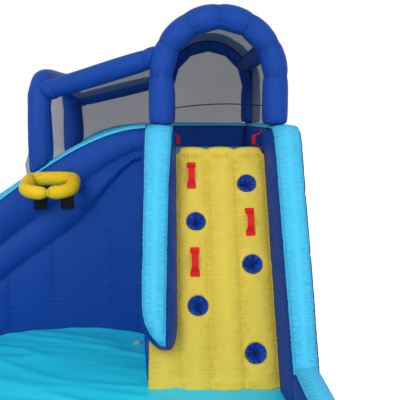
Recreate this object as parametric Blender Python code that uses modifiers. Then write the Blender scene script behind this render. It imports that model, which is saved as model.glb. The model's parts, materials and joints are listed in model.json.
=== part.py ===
"""Inflatable water park: a climbing lane, a netted platform and a curved slide round a splash pool.

The design frame has X = 0 on the climbing lane's centre line, Y = 0 in the plane of the front arch
and Z = 0 on the ground. The last step moves the origin to the middle of the footprint.
All sizes are in metres, with the park inflated.
"""

import math

import bmesh
import bpy
from mathutils import Matrix, Vector
from mathutils.bvhtree import BVHTree

# Clearances and skins
GAP = 0.0003
SKIN = 0.012

# Ground and pool
SHEET = 0.005
SHEET_FACETS = 14
FLOOR_Z = 0.010
POOL_WALL_TOP = 0.255
POOL_FRONT = -2.25
POOL_CORNER = 0.34

# Edge walls: bumpers, parapets and pool walls share one cap
EDGE_OUTER = 0.533
EDGE_WIDTH = 0.165
CAP_HEIGHT = 0.035

# Tower
TOWER_HALF = 0.53
TOWER_TOP = 1.29
DECK_Z = 1.43
RIM_Z = 1.655
PARAPET_WIDTH = 0.18
PARAPET_SWELL = 0.004
TOWER_LOBES_SIDE = 5
TOWER_LOBES_BACK = 4
TOWER_LOBE_DEPTH = 0.025

# Climbing lane
CLIMB_TOP_Y = 0.03
CLIMB_TOP_Z = 1.44
CLIMB_RUN = 0.85
CLIMB_HALF = 0.50
WALL_HALF_TOP = 0.466
WALL_HALF_FOOT = 0.492
CLIMB_THICK = 0.075
CLIMB_SWELL = 0.030
CLIMB_CROWN = 0.062
CROWN_SEAM = 0.76
LANE_LEFT = -0.300
LANE_RIGHT = 0.333
LOBES = 3
LOBE_HEIGHT = 0.020
BUMPER_PROUD = 0.262
RIGHT_FLARE = 0.035
LEFT_FLARE = (0.060, 0.065)
BUMPER_END = 1.36
BUMPER_SEAMS = (0.43, 0.86)
BUMPER_PINCH = 0.003

# Pockets and handles on the climbing wall: (across, down the slope)
POCKET_DIAMETER = 0.132
POCKET_DEPTH = 0.060
POCKET_FOLDS = 10
POCKETS = ((0.198, 0.249), (-0.173, 0.538), (0.207, 0.850), (-0.169, 1.129), (0.196, 1.440))
HANDLES = ((-0.200, 0.190), (0.205, 0.548), (-0.185, 0.834))
HANDLE_LENGTH = 0.208
HANDLE_RISE = 0.038
ENTRY_HANDLE_LENGTH = 0.165
ENTRY_HANDLE_Y = 0.22
ENTRY_HANDLE_RISE = 0.055
ENTRY_HANDLE_Z = 1.530
ENTRY_HANDLE_TWIST = math.radians(35)
STRAP = 0.004

# Net cage
ARCH_HALF = 0.41
ARCH_TUBE = 0.18
ARCH_TOP = 2.495
REAR_ARCH_INSET = 0.11
FRONT_LEG_ANGLE = math.radians(99.97)
REAR_LEG_ANGLE = math.radians(93.87)
SLIDE_ARCH_TOP = 2.09
SLIDE_ARCH_CORNER = 0.22
FRONT_RAIL = 0.145
REAR_RAIL = 0.120
LEG_LAP = 0.010
LINK_TUBE = 0.14
LINK_ANGLE = 30
FRONT_RAIL_HIGH = ARCH_TOP - 0.347
FRONT_RAIL_LOW = SLIDE_ARCH_TOP - 0.203
REAR_RAIL_HIGH = ARCH_TOP - 0.435
REAR_RAIL_LOW = SLIDE_ARCH_TOP - 0.240
NET = 0.003
FRONT_NET_LENGTH = 0.36
BINDING = 0.012
CORD = 0.008
CORD_Z = 1.775
COPE = 0.0006

# Slide: an arc about its own centre, from the tower's left side round to the pool
SLIDE_X = -1.13
SLIDE_Y = -0.98
SLIDE_INNER = 1.25
SLIDE_OUTER = 2.46
SLIDE_WALL = 0.18
SLIDE_END = math.radians(172)
SLIDE_DROP = 1.17
SLIDE_FAN = 0.40
OUTER_DIP = 0.20
ROLL_HEIGHT = 0.37
BAND_HEIGHT = 0.27
BED_THICK = 0.10
BED_LOBES = 4
WALL_CHANNEL = 0.38

# The tower ends behind the slide's outer wall, and the slide arch stands on both slide walls
TOWER_BACK = SLIDE_Y + math.sqrt(SLIDE_OUTER**2 - (TOWER_HALF + SLIDE_X) ** 2) + 0.0843
REAR_ARCH_Y = TOWER_BACK - REAR_ARCH_INSET
SLIDE_ARCH_FRONT = (
    SLIDE_X + (SLIDE_INNER + SLIDE_WALL / 2) * math.cos(FRONT_LEG_ANGLE),
    SLIDE_Y + (SLIDE_INNER + SLIDE_WALL / 2) * math.sin(FRONT_LEG_ANGLE),
)
SLIDE_ARCH_REAR = (
    SLIDE_X + (SLIDE_OUTER - SLIDE_WALL / 2) * math.cos(REAR_LEG_ANGLE),
    SLIDE_Y + (SLIDE_OUTER - SLIDE_WALL / 2) * math.sin(REAR_LEG_ANGLE),
)

# Hoop
HOOP_TUBE = 0.094
HOOP_HALF = 0.164
HOOP_DEPTH = 0.320
HOOP_FRONT_BEND = 0.125
HOOP_BACK_BEND = 0.040
HOOP_Z = 1.243
HOOP_ANGLE = math.radians(95.8)
HOOP_TILT = math.radians(12)
HOOP_MOUTH = 0.014
HOOP_STRAP = 0.095
HOOP_STRAP_OFF = 0.100
HOOP_STRAP_DROP = 0.235
HOOP_STRAP_WEB = 0.003

# Fittings
SLEEVE_DIAMETER = 0.17
SLEEVE_LENGTH = 0.28
SLEEVE_WALL = 0.005
SLEEVE_ANGLE = math.radians(125)
SLEEVE_Z = 0.16
ZIP_LENGTH = 0.50
ZIP_FOOT = 0.25
ZIP_WIDTH = 0.045
ZIP_TAPE = 0.003
DRAIN_AT = (-0.609, -0.03)
DRAIN_BORE = 0.036
ANCHOR_LENGTH = 0.075
ANCHOR_WIDTH = 0.080
ANCHOR_WEB = 0.018

BLUE = (0.012, 0.075, 0.56)
SKY = (0.075, 0.56, 0.85)
YELLOW = (0.78, 0.62, 0.06)
RED = (0.74, 0.02, 0.02)
BLACK = (0.012, 0.012, 0.016)
GREY = (0.26, 0.26, 0.28)

for old in list(bpy.data.objects):
    bpy.data.objects.remove(old, do_unlink=True)

parts = bpy.data.collections.new("inflatable_water_park")
cutters = bpy.data.collections.new("cutters")
bpy.context.scene.collection.children.link(parts)
bpy.context.scene.collection.children.link(cutters)
cutters.hide_render = True
origin = bpy.data.objects.new("park_origin", None)
parts.objects.link(origin)


# Helpers

def finish(obj, colour, roughness=0.6, metallic=0.0):
    """Give a part its own material, its parent and its place in the collection."""
    material = bpy.data.materials.new(obj.name + "_fabric")
    material.use_nodes = True
    shader = material.node_tree.nodes["Principled BSDF"]
    shader.inputs["Base Color"].default_value = (*colour, 1)
    shader.inputs["Roughness"].default_value = roughness
    shader.inputs["Metallic"].default_value = metallic
    obj.data.materials.clear()
    obj.data.materials.append(material)
    if obj.type == "MESH":
        obj.data.shade_smooth()
        obj.data.set_sharp_from_angle(angle=math.radians(40))
    obj.parent = origin
    if obj.name not in parts.objects:
        parts.objects.link(obj)
    return obj


def mesh_object(name, bm, colour, **look):
    bmesh.ops.recalc_face_normals(bm, faces=bm.faces)
    if bm.calc_volume(signed=True) < 0:
        bmesh.ops.reverse_faces(bm, faces=bm.faces)
    mesh = bpy.data.meshes.new(name)
    bm.to_mesh(mesh)
    bm.free()
    return finish(bpy.data.objects.new(name, mesh), colour, **look)


def skin_rings(bm, rings, closed=False):
    """Join closed rings of equal count, and cap the ends unless the row closes on itself."""
    loops = [[bm.verts.new(point) for point in ring] for ring in rings]
    pairs = list(zip(loops, loops[1:]))
    if closed:
        pairs.append((loops[-1], loops[0]))
    for first, second in pairs:
        for i in range(len(first)):
            j = (i + 1) % len(first)
            bm.faces.new((first[i], first[j], second[j]))
            bm.faces.new((first[i], second[j], second[i]))
    if not closed:
        bm.faces.new(reversed(loops[0]))
        bm.faces.new(loops[-1])


def loft(name, rings, colour, inner=(), closed=False, **look):
    """A skinned form. The inner rings run back from its open end, so the chamber is hollow."""
    bm = bmesh.new()
    skin_rings(bm, list(rings) + list(inner), closed)
    return mesh_object(name, bm, colour, **look)


def tube(name, points, diameter, colour, radii=None, sides=12, **look):
    """A pipe along a route, as a curve with filled caps. The radii pinch it at its seams."""
    curve = bpy.data.curves.new(name, "CURVE")
    curve.dimensions = "3D"
    curve.bevel_depth = diameter / 2
    curve.bevel_resolution = (sides - 4) // 2
    curve.use_fill_caps = True
    spline = curve.splines.new("POLY")
    spline.points.add(len(points) - 1)
    for i, point in enumerate(points):
        spline.points[i].co = (*point, 1)
        spline.points[i].radius = radii[i] if radii else 1.0
    return finish(bpy.data.objects.new(name, curve), colour, **look)


def as_mesh(obj, colour, **look):
    """Turn a curve into a welded mesh, which can be cut. Its quads are split alike in every copy."""
    name = obj.name
    graph = bpy.context.evaluated_depsgraph_get()
    mesh = bpy.data.meshes.new_from_object(obj.evaluated_get(graph))
    bm = bmesh.new()
    bm.from_mesh(mesh)
    bmesh.ops.remove_doubles(bm, verts=bm.verts, dist=0.00005)
    bmesh.ops.recalc_face_normals(bm, faces=bm.faces)
    bmesh.ops.triangulate(bm, faces=[f for f in bm.faces if len(f.verts) == 4], quad_method="FIXED")
    bm.to_mesh(mesh)
    bm.free()
    bpy.data.objects.remove(obj, do_unlink=True)
    solid = bpy.data.objects.new(name, mesh)
    return finish(solid, colour, **look)


def cutter(obj):
    """Keep an object for cutting only."""
    parts.objects.unlink(obj)
    cutters.objects.link(obj)
    obj.hide_render = True
    obj.display_type = "WIRE"
    return obj


def cut(obj, tool):
    modifier = obj.modifiers.new("cut_" + tool.name, "BOOLEAN")
    modifier.operation = "DIFFERENCE"
    modifier.object = tool
    modifier.solver = "EXACT"


def plate(name, outlines, thickness, colour, **look):
    """A flat outline, with holes if there is more than one, of this thickness above its own plane."""
    curve = bpy.data.curves.new(name, "CURVE")
    curve.dimensions = "2D"
    curve.fill_mode = "BOTH"
    curve.extrude = thickness / 2
    for outline in outlines:
        spline = curve.splines.new("POLY")
        spline.points.add(len(outline) - 1)
        for i, (x, y) in enumerate(outline):
            spline.points[i].co = (x, y, 0, 1)
        spline.use_cyclic_u = True
    obj = bpy.data.objects.new(name, curve)
    return finish(obj, colour, **look)


def panel(name, rows, colour, **look):
    """A thin net between rows of points."""
    bm = bmesh.new()
    grid = [[bm.verts.new(point) for point in row] for row in rows]
    for low, high in zip(grid, grid[1:]):
        for i in range(len(low) - 1):
            bm.faces.new((low[i], low[i + 1], high[i + 1], high[i]))
    obj = mesh_object(name, bm, colour, **look)
    solid = obj.modifiers.new("thickness", "SOLIDIFY")
    solid.thickness = NET
    solid.offset = 0
    return obj


def surface(obj):
    """A search tree of an unmoved part's faces, for seating another piece on them."""
    mesh = obj.data
    return BVHTree.FromPolygons([v.co for v in mesh.vertices], [p.vertices for p in mesh.polygons])


def seat(tree, point, direction):
    """Where a line from this point in this direction first meets the faces."""
    hit = tree.ray_cast(point, direction)[0]
    return hit if hit is not None else point + direction


def mix(a, b, t):
    return a + (b - a) * t


def smooth(t):
    t = min(max(t, 0.0), 1.0)
    return t * t * (3 - 2 * t)


def steps(low, high, count):
    return [mix(low, high, i / count) for i in range(count + 1)]


def shrink(ring, share):
    """A ring drawn in towards its middle, for the round end of a chamber."""
    middle = sum(ring, Vector()) / len(ring)
    return [middle + (point - middle) * share for point in ring]


def lining(profile, skin=SKIN):
    """The inside of a hollow profile of (across, up) pairs."""
    low = [min(p[k] for p in profile) for k in (0, 1)]
    high = [max(p[k] for p in profile) for k in (0, 1)]
    scale = [(high[k] - low[k] - 4 * skin) / (high[k] - low[k]) for k in (0, 1)]
    middle = [(high[k] + low[k]) / 2 for k in (0, 1)]
    return [tuple(middle[k] + (p[k] - middle[k]) * scale[k] for k in (0, 1)) for p in profile]


def cap_profile(outer, width, z, crown=CAP_HEIGHT):
    """The light crown on an edge wall, as (across, up) pairs from its inner side to its outer side."""
    inner = outer - width
    return [
        (inner + 0.003, z + GAP),
        (inner + 0.020, z + crown * 0.72),
        (inner + width / 2, z + crown),
        (outer - 0.020, z + crown * 0.72),
        (outer - 0.003, z + GAP),
    ]


def edge_profile(outer, width, low, high, bulge=0.012):
    """The body of an edge wall, as (across, up) pairs."""
    inner = outer - width
    rise = high - low
    inside = [(inner - bulge * k, low + rise * h) for k, h in ((0, 0), (0.9, 0.3), (1, 0.7), (0, 1))]
    outside = [(outer + bulge * k, low + rise * h) for k, h in ((0, 1), (1, 0.7), (0.9, 0.3), (0, 0))]
    return inside + outside


# Ground sheet and pool floor

def sheet_outline(inset):
    """The footprint: pool corners, tower and the slide's outer arc."""
    points = []
    left = SLIDE_X - SLIDE_OUTER + inset
    right = EDGE_OUTER - inset
    front = POOL_FRONT + inset
    corner = POOL_CORNER - inset
    for angle in steps(180, 270, 6):
        turn = math.radians(angle)
        points.append((left + corner + corner * math.cos(turn), front + corner + corner * math.sin(turn)))
    for angle in steps(270, 360, 6):
        turn = math.radians(angle)
        points.append((right - corner + corner * math.cos(turn), front + corner + corner * math.sin(turn)))
    points.append((right, TOWER_BACK - inset))
    points.append((inset - TOWER_HALF, TOWER_BACK - inset))
    radius = SLIDE_OUTER - inset
    start = math.acos((inset - TOWER_HALF - SLIDE_X) / radius)
    for angle in steps(start, math.pi, SHEET_FACETS):
        points.append((SLIDE_X + radius * math.cos(angle), SLIDE_Y + radius * math.sin(angle)))
    return points


ground = plate("ground_sheet", [sheet_outline(0.0)], SHEET, BLUE)
ground.location.z = SHEET / 2
floor_thick = FLOOR_Z - SHEET - GAP
pool_floor = plate("pool_floor", [sheet_outline(0.004)], floor_thick, SKY)
pool_floor.location.z = FLOOR_Z - floor_thick / 2
BASE_Z = FLOOR_Z + GAP


# Climbing lane: distances run down the slope and out from it

SLOPE = Vector((0, -CLIMB_RUN, FLOOR_Z - CLIMB_TOP_Z)).normalized()
NORMAL = Vector((0, SLOPE.z, -SLOPE.y))
LANE_TILT = math.atan2(-NORMAL.y, NORMAL.z)


def on_slope(across, down, out):
    return Vector((across, CLIMB_TOP_Y, CLIMB_TOP_Z)) + SLOPE * down + NORMAL * out


def down_to(z, out):
    """How far down the slope a point that stands this far out reaches height z."""
    return (CLIMB_TOP_Z + NORMAL.z * out - z) / -SLOPE.z


TOWER_FRONT = CLIMB_TOP_Y + CLIMB_THICK / -NORMAL.y + GAP
LOBE_SHAPE = ((0.12, 0.60), (0.34, 1.0), (0.66, 1.0), (0.88, 0.60))


def wall_front(height, half):
    """The wall's face across the lane: flat margins under the bumpers and three air chambers."""
    width = (LANE_RIGHT - LANE_LEFT) / LOBES
    points = [(-half, 0.0), (LANE_LEFT, 0.0)]
    for lobe in range(LOBES):
        left = LANE_LEFT + lobe * width
        points += [(left + width * share, height * rise) for share, rise in LOBE_SHAPE]
        points.append((left + width, 0.0))
    points.append((half, 0.0))
    return points


def make_climbing_wall():
    """The climbing wall. Its three chambers end in a rounded crown above a seam at the top of the slope."""
    def back(half):
        return [(half, -CLIMB_THICK), (-half, -CLIMB_THICK)]
    foot = down_to(BASE_Z, 0.0)
    rings = []
    for height, lean, lift in ((0.2, -0.72, 0.55), (0.7, -0.30, 0.97), (1.0, 0.0, 0.70)):
        ring = []
        for across, out in wall_front(LOBE_HEIGHT, WALL_HALF_TOP):
            swell = (out / LOBE_HEIGHT) ** 0.5
            if LANE_LEFT + GAP < across < LANE_RIGHT - GAP:
                swell = mix(CROWN_SEAM, 1.0, swell)
            depth = out * height + lean * CLIMB_THICK
            ring.append(on_slope(across, -CLIMB_CROWN * lift * swell + 0.004 * (1 - lift), depth))
        ring += [on_slope(across, 0.006 * (1.1 + lean), out) for across, out in back(WALL_HALF_TOP)]
        rings.append(ring)
    stations = (
        (0.012, 0.40), (0.035, 0.92), (0.2, 1.0), (0.5, 1.0), (0.85, 1.0), (1.2, 1.0), (1.5, 1.0),
        (foot - 0.06, 0.95), (foot, 0.6),
    )
    for down, swell in stations:
        share = down / foot
        half = mix(WALL_HALF_TOP, WALL_HALF_FOOT, share)
        ring = []
        for across, out in wall_front(LOBE_HEIGHT * swell, half) + back(half):
            at = mix(down_to(CLIMB_TOP_Z, out), down_to(BASE_Z, out), share)
            ring.append(on_slope(across, at, out))
        rings.append(ring)
    return loft("climbing_wall", rings, YELLOW)


def make_climb_block():
    """The air chamber behind the climbing wall, open onto the ground sheet that closes it."""
    def ring(z, inset, front_inset):
        front = on_slope(0, down_to(z, -CLIMB_THICK - GAP), -CLIMB_THICK - GAP).y + front_inset
        side = CLIMB_HALF - inset + CLIMB_SWELL * smooth(z / 0.32)
        back = TOWER_FRONT - GAP - inset
        bulge = 0.0 if inset else 0.008
        return [
            Vector((-side, front, z)), Vector((0, front, z)), Vector((side, front, z)),
            Vector((side + bulge, mix(front, back, 0.5), z)), Vector((side, back, z)),
            Vector((0, back, z)), Vector((-side, back, z)), Vector((-side - bulge, mix(front, back, 0.5), z)),
        ]
    outer = [ring(z, 0.0, 0.0) for z in (TOWER_TOP, 0.9, 0.32, 0.16, BASE_Z)]
    inner = [ring(z, SKIN, SKIN * 1.3) for z in (BASE_Z, TOWER_TOP - 0.10)]
    return loft("climb_block", outer, BLUE, inner)


def make_pocket(name, across, down):
    """A round foot pocket, whose cloth is gathered to a pinch in its middle."""
    radius = POCKET_DIAMETER / 2 - GAP
    count = 2 * POCKET_FOLDS
    bottom = GAP - POCKET_DEPTH
    rings = []
    for share, height, fold in (
        (1.0, bottom, 0.0), (1.0, LOBE_HEIGHT, 0.0), (0.94, LOBE_HEIGHT + 0.002, 0.0),
        (0.82, LOBE_HEIGHT - 0.008, 0.0015), (0.52, LOBE_HEIGHT - 0.024, 0.005),
        (0.22, LOBE_HEIGHT - 0.044, 0.005), (0.07, LOBE_HEIGHT - 0.054, 0.0),
    ):
        ring = []
        for i in range(count):
            turn = math.tau * i / count
            lift = fold * (1 if i % 2 else -1)
            ring.append(Vector((radius * share * math.sin(turn), radius * share * math.cos(turn), height + lift)))
        rings.append(ring)
    pocket = loft(name, rings, BLUE)
    pocket.location = on_slope(across, down, 0.0)
    pocket.rotation_euler = (LANE_TILT, 0, 0)
    return pocket


def make_strap_handle(name, length, rise, wide=0.066, narrow=0.045, pad=0.034, twist=0.0):
    """A webbing handle: two sewn ends and a narrower grip that stands off, turned about the handle's Y."""
    half = length / 2
    stations = (
        (half, wide * 0.8, 0.0), (half - 0.006, wide, 0.0), (half - pad, wide, 0.0),
        (half - pad - 0.016, narrow, rise * 0.72), (half * 0.34, narrow, rise),
        (0.0, narrow, rise * 1.04),
    )
    path = [(-y, w, h) for y, w, h in stations[:-1]] + [stations[-1]]
    path += [s for s in reversed(stations[:-1])]
    rings = []
    for y, w, h in path:
        turn = Matrix.Rotation(twist if h > 0 else 0.0, 3, "Y")
        corners = ((-w / 2, 0.0), (w / 2, 0.0), (w / 2, STRAP), (-w / 2, STRAP))
        rings.append([turn @ Vector((x, 0, z)) + Vector((0, y, h)) for x, z in corners])
    return loft(name, rings, RED)


def bumper_stations(to_floor):
    """Rows along a bumper: the side's foot and top, how far the outer edge is drawn in, the side's swell,
    and how much wider the top is there than a parapet."""
    back = TOWER_FRONT - GAP
    top = RIM_Z - CAP_HEIGHT
    flat = CLIMB_TOP_Z + GAP
    out = BUMPER_PROUD
    rows = [
        (Vector((0, back, flat)), Vector((0, back, top)), 0.0, 0.0, 0.0 if to_floor else 0.047),
        (Vector((0, CLIMB_TOP_Y - 0.001, flat)), Vector((0, -0.03, top)), 0.0, 0.0, 0.045),
        (on_slope(0, 0.07, GAP), Vector((0, -0.105, top - 0.004)), 0.0, 0.0, 0.045),
        (on_slope(0, 0.15, GAP), Vector((0, -0.165, top - 0.040)), 0.0, 0.6, 0.040),
        (on_slope(0, 0.24, GAP), on_slope(0, 0.10, out), 0.0, 1.0, 0.033),
    ]
    for seam in BUMPER_SEAMS:
        for shift, pull in ((-0.03, 0.0), (0.0, BUMPER_PINCH), (0.03, 0.0)):
            high = on_slope(0, seam + shift, out - pull * 1.2)
            wide = (0.026 if to_floor else 0.016) if seam < BUMPER_SEAMS[1] else (0.020 if to_floor else 0.008)
            rows.append((on_slope(0, seam + shift, GAP), high, pull, 1.0, wide))
    if to_floor:
        rows.append((on_slope(0, 1.42, GAP), on_slope(0, 1.45, out), 0.0, 1.0, 0.004))
        foot = on_slope(0, down_to(BASE_Z, GAP), GAP)
        rows.append((foot, on_slope(0, down_to(BASE_Z, out), out), 0.0, 1.0, 0.0))
        return rows
    ends = (
        (1.16, 1.0, 0.0), (1.23, 0.995, 0.008), (1.29, 0.975, 0.026), (1.34, 0.93, 0.052), (1.38, 0.86, 0.084),
        (1.41, 0.74, 0.120),
    )
    for down, lift, pull in ends:
        rows.append((on_slope(0, down, GAP), on_slope(0, down + 0.01, out * lift), pull, 1.0, 0.003))
    return rows


def make_bumper(side, name, to_floor):
    """A padded side of the lane: a blue body with flared sides, and a light crown all along it. The left
    one widens towards the lane as it rises, and the right one away from it."""
    body = []
    crown = []
    for foot, top, pull, swell, wide in bumper_stations(to_floor):
        rise = (top - foot).length
        along = (top - foot).normalized()
        inner = EDGE_OUTER - EDGE_WIDTH - (0.0 if to_floor else wide)
        outer = EDGE_OUTER - pull + (wide if to_floor else 0.0)
        share = (CLIMB_TOP_Z - foot.z) / CLIMB_TOP_Z
        flare = RIGHT_FLARE if to_floor else mix(*LEFT_FLARE, share)
        foot_in = EDGE_OUTER - EDGE_WIDTH - flare + pull * pull * 3.0
        edge = min(outer, TOWER_HALF) if swell == 0.0 and not to_floor else outer
        section = [
            (foot_in, 0.0), (foot_in + 0.006, 0.30), (foot_in + 0.020, 0.68), (inner, 1.0),
            (edge, 1.0), (edge + 0.015 * swell, 0.70), (edge + 0.012 * swell, 0.30), (edge, 0.0),
        ]
        body.append([foot + along * (rise * h) + Vector((side * x, 0, 0)) for x, h in section])
        ring = []
        for x, h in cap_profile(outer, outer - inner, rise, CAP_HEIGHT * (1 - pull * 3)):
            ring.append(foot + along * h + Vector((side * x, 0, 0)))
        crown.append(ring)
    loft(name, body, BLUE)
    return loft(name + "_crown", crown, SKY)


make_climb_block()
climbing_wall = make_climbing_wall()
for number, (across, down) in enumerate(POCKETS, 1):
    make_pocket(f"foot_pocket_{number}", across, down)
    bpy.ops.mesh.primitive_cylinder_add(
        vertices=2 * POCKET_FOLDS, radius=POCKET_DIAMETER / 2, depth=POCKET_DEPTH + 0.1,
    )
    hole = bpy.context.object
    hole.name = f"pocket_hole_{number}"
    hole.data.transform(Matrix.Translation((0, 0, 0.05 - POCKET_DEPTH / 2)))
    hole.location = on_slope(across, down, 0.0)
    hole.rotation_euler = (LANE_TILT, 0, 0)
    hole.parent = origin
    for home in list(hole.users_collection):
        home.objects.unlink(hole)
    parts.objects.link(hole)
    cut(climbing_wall, cutter(hole))
for number, (across, down) in enumerate(HANDLES, 1):
    handle = make_strap_handle(f"climbing_handle_{number}", HANDLE_LENGTH, HANDLE_RISE)
    handle.location = on_slope(across, down, LOBE_HEIGHT + GAP)
    handle.rotation_euler = (LANE_TILT, 0, 0)
for side, name in ((-1, "entry_handle_left"), (1, "entry_handle_right")):
    turn = side * ENTRY_HANDLE_TWIST
    handle = make_strap_handle(name, ENTRY_HANDLE_LENGTH, ENTRY_HANDLE_RISE, 0.050, 0.036, 0.026, turn)
    face = TOWER_HALF - PARAPET_WIDTH - (PARAPET_SWELL if side > 0 else 0.0)
    handle.location = (side * (face - GAP), ENTRY_HANDLE_Y, ENTRY_HANDLE_Z)
    handle.rotation_euler = (math.pi / 2, 0, -side * math.pi / 2)
make_bumper(-1, "left_bumper", False)
make_bumper(1, "right_bumper", True)


# Tower: base chamber, deck mattress and parapets

def lobed_side(start, end, count, depth):
    """Points from start to end along a wall of upright air columns, whose seams are drawn in."""
    inward = Vector((start.y - end.y, end.x - start.x, 0)).normalized() * depth
    points = []
    for lobe in range(count):
        for share, pull in ((0.0, 1.0), (0.14, 0.35), (0.36, 0.0), (0.64, 0.0), (0.86, 0.35)):
            points.append(start.lerp(end, (lobe + share) / count) + inward * pull)
    points.append(end + inward)
    return points


def tower_ring(z, scale=1.0):
    right = TOWER_HALF
    corner = 0.03
    points = [Vector((-right, TOWER_FRONT, 0)), Vector((right - TOWER_LOBE_DEPTH, TOWER_FRONT, 0))]
    points += lobed_side(
        Vector((right, TOWER_FRONT + corner, 0)), Vector((right, TOWER_BACK - corner, 0)),
        TOWER_LOBES_SIDE, TOWER_LOBE_DEPTH,
    )
    points += lobed_side(
        Vector((right - corner, TOWER_BACK, 0)), Vector((-right, TOWER_BACK, 0)),
        TOWER_LOBES_BACK, TOWER_LOBE_DEPTH,
    )
    middle = Vector((0, (TOWER_FRONT + TOWER_BACK) / 2, 0))
    ring = [middle + (point - middle) * scale for point in points]
    return [Vector((point.x, point.y, z)) for point in ring]


loft(
    "tower_base",
    [tower_ring(TOWER_TOP), tower_ring(BASE_Z)],
    BLUE,
    [tower_ring(BASE_Z, 0.97), tower_ring(TOWER_TOP - SKIN, 0.97)],
)
STAND_Z = TOWER_TOP + GAP
INNER_SIDE = TOWER_HALF - PARAPET_WIDTH


def make_platform_floor():
    """The deck mattress, with air channels across it and a front edge cut to the climbing wall's back."""
    def front(z):
        return on_slope(0, down_to(z, -CLIMB_THICK - GAP), -CLIMB_THICK - GAP).y
    back = TOWER_BACK - PARAPET_WIDTH - PARAPET_SWELL - GAP
    low = STAND_Z
    swell = 0.02
    profile = [(front(low), low), (front(DECK_Z - swell), DECK_Z - swell)]
    start = front(DECK_Z - swell)
    width = (back - start) / BED_LOBES
    for lobe in range(BED_LOBES):
        for share, rise in ((0.2, 0.85), (0.5, 1.0), (0.8, 0.85), (1.0, 0.0)):
            profile.append((start + width * (lobe + share), DECK_Z - swell + swell * rise))
    profile.append((back, low))
    left, right = -TOWER_HALF, INNER_SIDE - PARAPET_SWELL - GAP
    outer = [[Vector((x, y, z)) for y, z in profile] for x in (left, right)]
    inside = lining(profile, SKIN / 1.6)
    inner = [[Vector((x, y, z)) for y, z in inside] for x in (right, left + SKIN)]
    return loft("platform_floor", outer, SKY, inner)


def along_x(profile, x, side=1):
    return [Vector((x, side * a, b)) for a, b in profile]


def make_parapets():
    top = RIM_Z - CAP_HEIGHT
    right = edge_profile(TOWER_HALF, PARAPET_WIDTH, STAND_Z, top, PARAPET_SWELL)
    rings = [[Vector((a, y, b)) for a, b in right] for y in (TOWER_FRONT, 0.5, 1.0, TOWER_BACK)]
    loft("right_parapet", rings, BLUE)
    rear = edge_profile(TOWER_BACK, PARAPET_WIDTH, STAND_Z, top, PARAPET_SWELL)
    end = INNER_SIDE - PARAPET_SWELL - GAP
    loft("rear_parapet", [along_x(rear, x) for x in (-TOWER_HALF, -0.1, end)], BLUE)
    post_back = SLIDE_Y + math.sqrt((SLIDE_INNER + SLIDE_WALL) ** 2 - (TOWER_HALF + SLIDE_X) ** 2) + 0.015
    left = edge_profile(-INNER_SIDE, PARAPET_WIDTH, DECK_Z + GAP, top, 0.0)
    post = [[Vector((a, y, b)) for a, b in left] for y in (TOWER_FRONT, post_back)]
    loft("entry_post", post, BLUE)
    crown = cap_profile(EDGE_OUTER, EDGE_WIDTH, top)
    middle = EDGE_OUTER - EDGE_WIDTH / 2
    turn_y = TOWER_BACK - PARAPET_WIDTH / 2
    rings = [
        [Vector((a, TOWER_FRONT, b)) for a, b in crown],
        [Vector((a, turn_y + (a - middle), b)) for a, b in crown],
        [Vector((-TOWER_HALF, turn_y + (a - middle), b)) for a, b in crown],
    ]
    loft("parapet_crown", rings, SKY)
    return top


make_platform_floor()
PARAPET_TOP = make_parapets()


# Slide

SLIDE_LEAD = math.acos((-TOWER_HALF - GAP - SLIDE_X) / SLIDE_INNER)
SLIDE_TIMES = steps(0.0, 0.97, 21)
OUTER_TIMES = SLIDE_TIMES + [1.0, 1.04, (math.pi - SLIDE_LEAD) / (SLIDE_END - SLIDE_LEAD)]


def slide_angle(radius, t):
    """Angle about the slide's centre. At 0 every radius meets the tower's side, and soon the rows are radial."""
    def start(reach):
        return math.acos((-TOWER_HALF - GAP - SLIDE_X) / reach)
    lead = start(SLIDE_INNER)
    fan = (start(radius) - lead) * (1 - smooth(t / SLIDE_FAN))
    return lead + (SLIDE_END - lead) * t + fan


def slide_point(radius, t, z):
    angle = slide_angle(radius, t)
    return Vector((SLIDE_X + radius * math.cos(angle), SLIDE_Y + radius * math.sin(angle), z))


def rim_height(t):
    return RIM_Z - SLIDE_DROP * smooth(t)


def outer_rim_height(t):
    """The outer wall falls below the inner one, towards the height of the pool wall."""
    return rim_height(t) - OUTER_DIP * smooth((t - 0.18) / 0.27)


def roll_foot(t):
    return rim_height(t) - mix(0.21, ROLL_HEIGHT, smooth(t / 0.33))


def band_foot(t):
    return max(roll_foot(t) - mix(0.04, BAND_HEIGHT, smooth(t / 0.25)), FLOOR_Z + 0.02)


def channel(distance):
    """1 in the middle of an upright air channel, 0 on its seams."""
    return abs(math.sin(math.pi * distance / WALL_CHANNEL)) ** 0.6


def slide_wall_profile(face, back, t, length, top, narrow=0.0):
    """A side wall's section from its visible face to its lane side: flat wall, bed band and top roll."""
    out = 1 if face > back else -1
    roll = min(roll_foot(t), top - 0.12)
    band = min(band_foot(t), roll - 0.03)
    swell = 0.020 * channel(length)
    face_points = [
        (0.0, BASE_Z), (swell, mix(BASE_Z, band, 0.2)), (swell, mix(BASE_Z, band, 0.7)), (-0.012, band),
        (0.030, mix(band, roll, 0.3)), (0.030, mix(band, roll, 0.7)), (-0.006, roll),
        (0.030, mix(roll, top, 0.25)), (0.040, mix(roll, top, 0.55)), (0.026, mix(roll, top, 0.85)), (0.0, top),
    ]
    lane = [
        (0.0, top), (0.020, mix(roll, top, 0.7)), (0.020, mix(roll, top, 0.35)), (0.0, roll), (0.0, BASE_Z),
    ]
    profile = [(face + out * (a - narrow), b) for a, b in face_points]
    return profile + [(back - out * (a - narrow), b) for a, b in lane]


def wall_rings(face, back, times, tops):
    middle = (face + back) / 2
    rings = []
    for t, top in zip(times, tops):
        length = middle * (slide_angle(middle, t) - slide_angle(middle, 0))
        rings.append([slide_point(r, t, z) for r, z in slide_wall_profile(face, back, t, length, top)])
    return rings


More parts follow.
